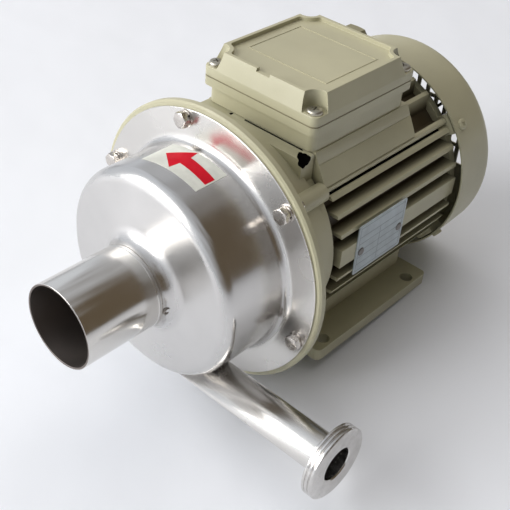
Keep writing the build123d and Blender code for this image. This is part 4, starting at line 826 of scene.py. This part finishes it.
# Blank nameplate: a printed border and ruled lines
PLATE_X = span("nameplate", "X")[1]
PLATE_MARGIN = 2
RULE = 0.45
RULE_HEIGHT = 0.06
ROW = 5.6
HEADING = 10
COLUMN = 25
front, back = span("nameplate", "Y", PLATE_MARGIN)
low, high = span("nameplate", "Z", PLATE_MARGIN)
heading = high + PLATE_MARGIN - HEADING
levels = [low, high - RULE, heading, *(low + ROW * row for row in range(1, 5))]
column = front - PLATE_MARGIN + COLUMN
rules = [(front, back, level, level + RULE) for level in levels]
rules += [(y, y + RULE, low, high) for y in (front, back - RULE)]
rules.append((column, column + RULE, low, heading))
ruled = bmesh.new()
for start, stop, bottom, top in rules:
    add_block(
        ruled, at(PLATE_X + 0.02, (start + stop) / 2, (bottom + top) / 2),
        RULE_HEIGHT, stop - start, top - bottom,
    )
finished("plate_rules", ruled, "plate_ink")

# Raised line round the middle of the lid
PANEL = (-34, BOX_Y - 26, 33, BOX_Y + 28)
PANEL_Z = span("box_lid", "Z")[1] - 2.8
SUNK = 0.1
LINE_WIDTH, LINE_HEIGHT = 0.9, 0.45
panel_line = bordered(PANEL, LINE_WIDTH, PANEL_Z - SUNK, LINE_HEIGHT)
finished("lid_line", panel_line, "lid_enamel")

# Weld bead round the neck, and the ring where its seam stops
BEAD_Y = NECK_END + 2.2
BEAD_HALF, BEAD_HEIGHT = 0.7, 0.35
bead = spun(rounded([
    (SUCTION_R - 0.2, BEAD_Y - BEAD_HALF),
    (SUCTION_R + BEAD_HEIGHT, BEAD_Y, 0.8),
    (SUCTION_R - 0.2, BEAD_Y + BEAD_HALF),
], 5), 160)
finished("neck_bead", bead, "weld_steel")
SEAM_PLACE = at(28.98, 60.45, -4.37) @ Matrix.Rotation(math.radians(98.6), 4, "Y")
crater = spun(rounded([
    (1.3, -0.8), (3.0, -0.8), (2.7, 0.5, 0.4), (1.9, 0.5, 0.4), (1.3, -0.2, 0.3),
], 4), 32, "Z")
bmesh.ops.transform(crater, verts=crater.verts, matrix=SEAM_PLACE)
finished("seam_stop", crater, "bead_steel")


# Camera at the photograph's viewing angle
AZIMUTH, ELEVATION, ROLL = (math.radians(degrees) for degrees in (39.5, 37.48, 5.17))
CAMERA_PLACE = (0.34536, -0.24332, 0.37915)
LENS = 66.36
forward = Vector((
    -math.sin(AZIMUTH) * math.cos(ELEVATION),
    math.cos(AZIMUTH) * math.cos(ELEVATION),
    -math.sin(ELEVATION),
))
level = forward.cross(Vector((0, 0, 1))).normalized()
raised = level.cross(forward)
right = math.cos(ROLL) * level + math.sin(ROLL) * raised
up = right.cross(forward)
lens = bpy.data.cameras.new("camera")
lens.lens = LENS
lens.sensor_width = 36
camera = bpy.data.objects.new("camera", lens)
bpy.context.scene.collection.objects.link(camera)
camera.matrix_world = Matrix.Translation(CAMERA_PLACE) @ Matrix((
    (right.x, up.x, -forward.x, 0),
    (right.y, up.y, -forward.y, 0),
    (right.z, up.z, -forward.z, 0),
    (0, 0, 0, 1),
))
bpy.context.scene.camera = camera

# Floor: the pump leans on its flange and the back ends of its feet, so the floor tilts under it
RIM_T = 4.8
RIM_POINT = Vector((0, span("front_shield", "Y")[0] + RIM_T, span("front_shield", "Z")[0])) * MM
HEEL_POINT = Vector((0, span("foot_left", "Y")[1], span("foot_left", "Z")[0])) * MM
tilt = math.atan2(HEEL_POINT.z - RIM_POINT.z, HEEL_POINT.y - RIM_POINT.y)
mesh = bpy.data.meshes.new("floor")
plane = bmesh.new()
bmesh.ops.create_grid(plane, x_segments=1, y_segments=1, size=4)
bmesh.ops.transform(plane, verts=plane.verts, matrix=(
    Matrix.Translation(RIM_POINT) @ Matrix.Rotation(tilt, 4, "X")
))
plane.to_mesh(mesh)
plane.free()
floor = bpy.data.objects.new("floor", mesh)
bpy.context.scene.collection.objects.link(floor)
cloth = Finish("cloth", tint(236, 239, 245), 0.7)
cloth.bump(cloth.noise(700, 3), 0.00003)
cloth.bump(cloth.noise(6, 3), 0.004)
floor.data.materials.append(cloth.material)

# Room: pale towards the window on the left and dark towards the right, with slow uneven patches.
# Camera rays see a pale background, and polished faces see the room brighter than it lights them.
WINDOW_SIDE = (-0.74, -0.58, 0.34)
DARK_WALL = (0.070, 0.054, 0.036)
PALE_WALL = (0.40, 0.42, 0.45)
BACKGROUND = (0.83, 0.86, 0.90)
MIRRORED_STRENGTH = 1.9
world = bpy.data.worlds.new("room")
world.use_nodes = True
room = Nodes(world.node_tree, "Generated")
facing = room.node("ShaderNodeVectorMath", operation="DOT_PRODUCT")
room.join(room.place, facing.inputs[0])
facing.inputs[1].default_value = WINDOW_SIDE
uneven = room.node("ShaderNodeMath", operation="ADD")
room.join(facing.outputs["Value"], uneven.inputs[0])
room.join(room.spread(room.noise(3.0, 2), -0.35, 0.35), uneven.inputs[1])
sky = world.node_tree.nodes["Background"]
walls = room.blend(room.spread(uneven.outputs[0], 0, 1, -0.34, 0.66), DARK_WALL, PALE_WALL)
ray = room.node("ShaderNodeLightPath")
room.join(room.blend(ray.outputs["Is Camera Ray"], walls, BACKGROUND), sky.inputs["Color"])
room.join(room.spread(ray.outputs["Is Glossy Ray"], 1.0, MIRRORED_STRENGTH, 0, 1), sky.inputs["Strength"])
bpy.context.scene.world = world

lamp("window", (-1.35, -2.1, 1.25), (0, 0.1, 0), (2.6, 1.9), 95, (1.0, 0.988, 0.97))
lamp("fill", (-0.4, 0.9, 2.3), (0.2, 0.2, 0), (2.4, 2.4), 25, (1.0, 0.94, 0.88), mirrored=False)

bpy.context.scene.view_settings.view_transform = "Standard"
bpy.context.view_layer.update()
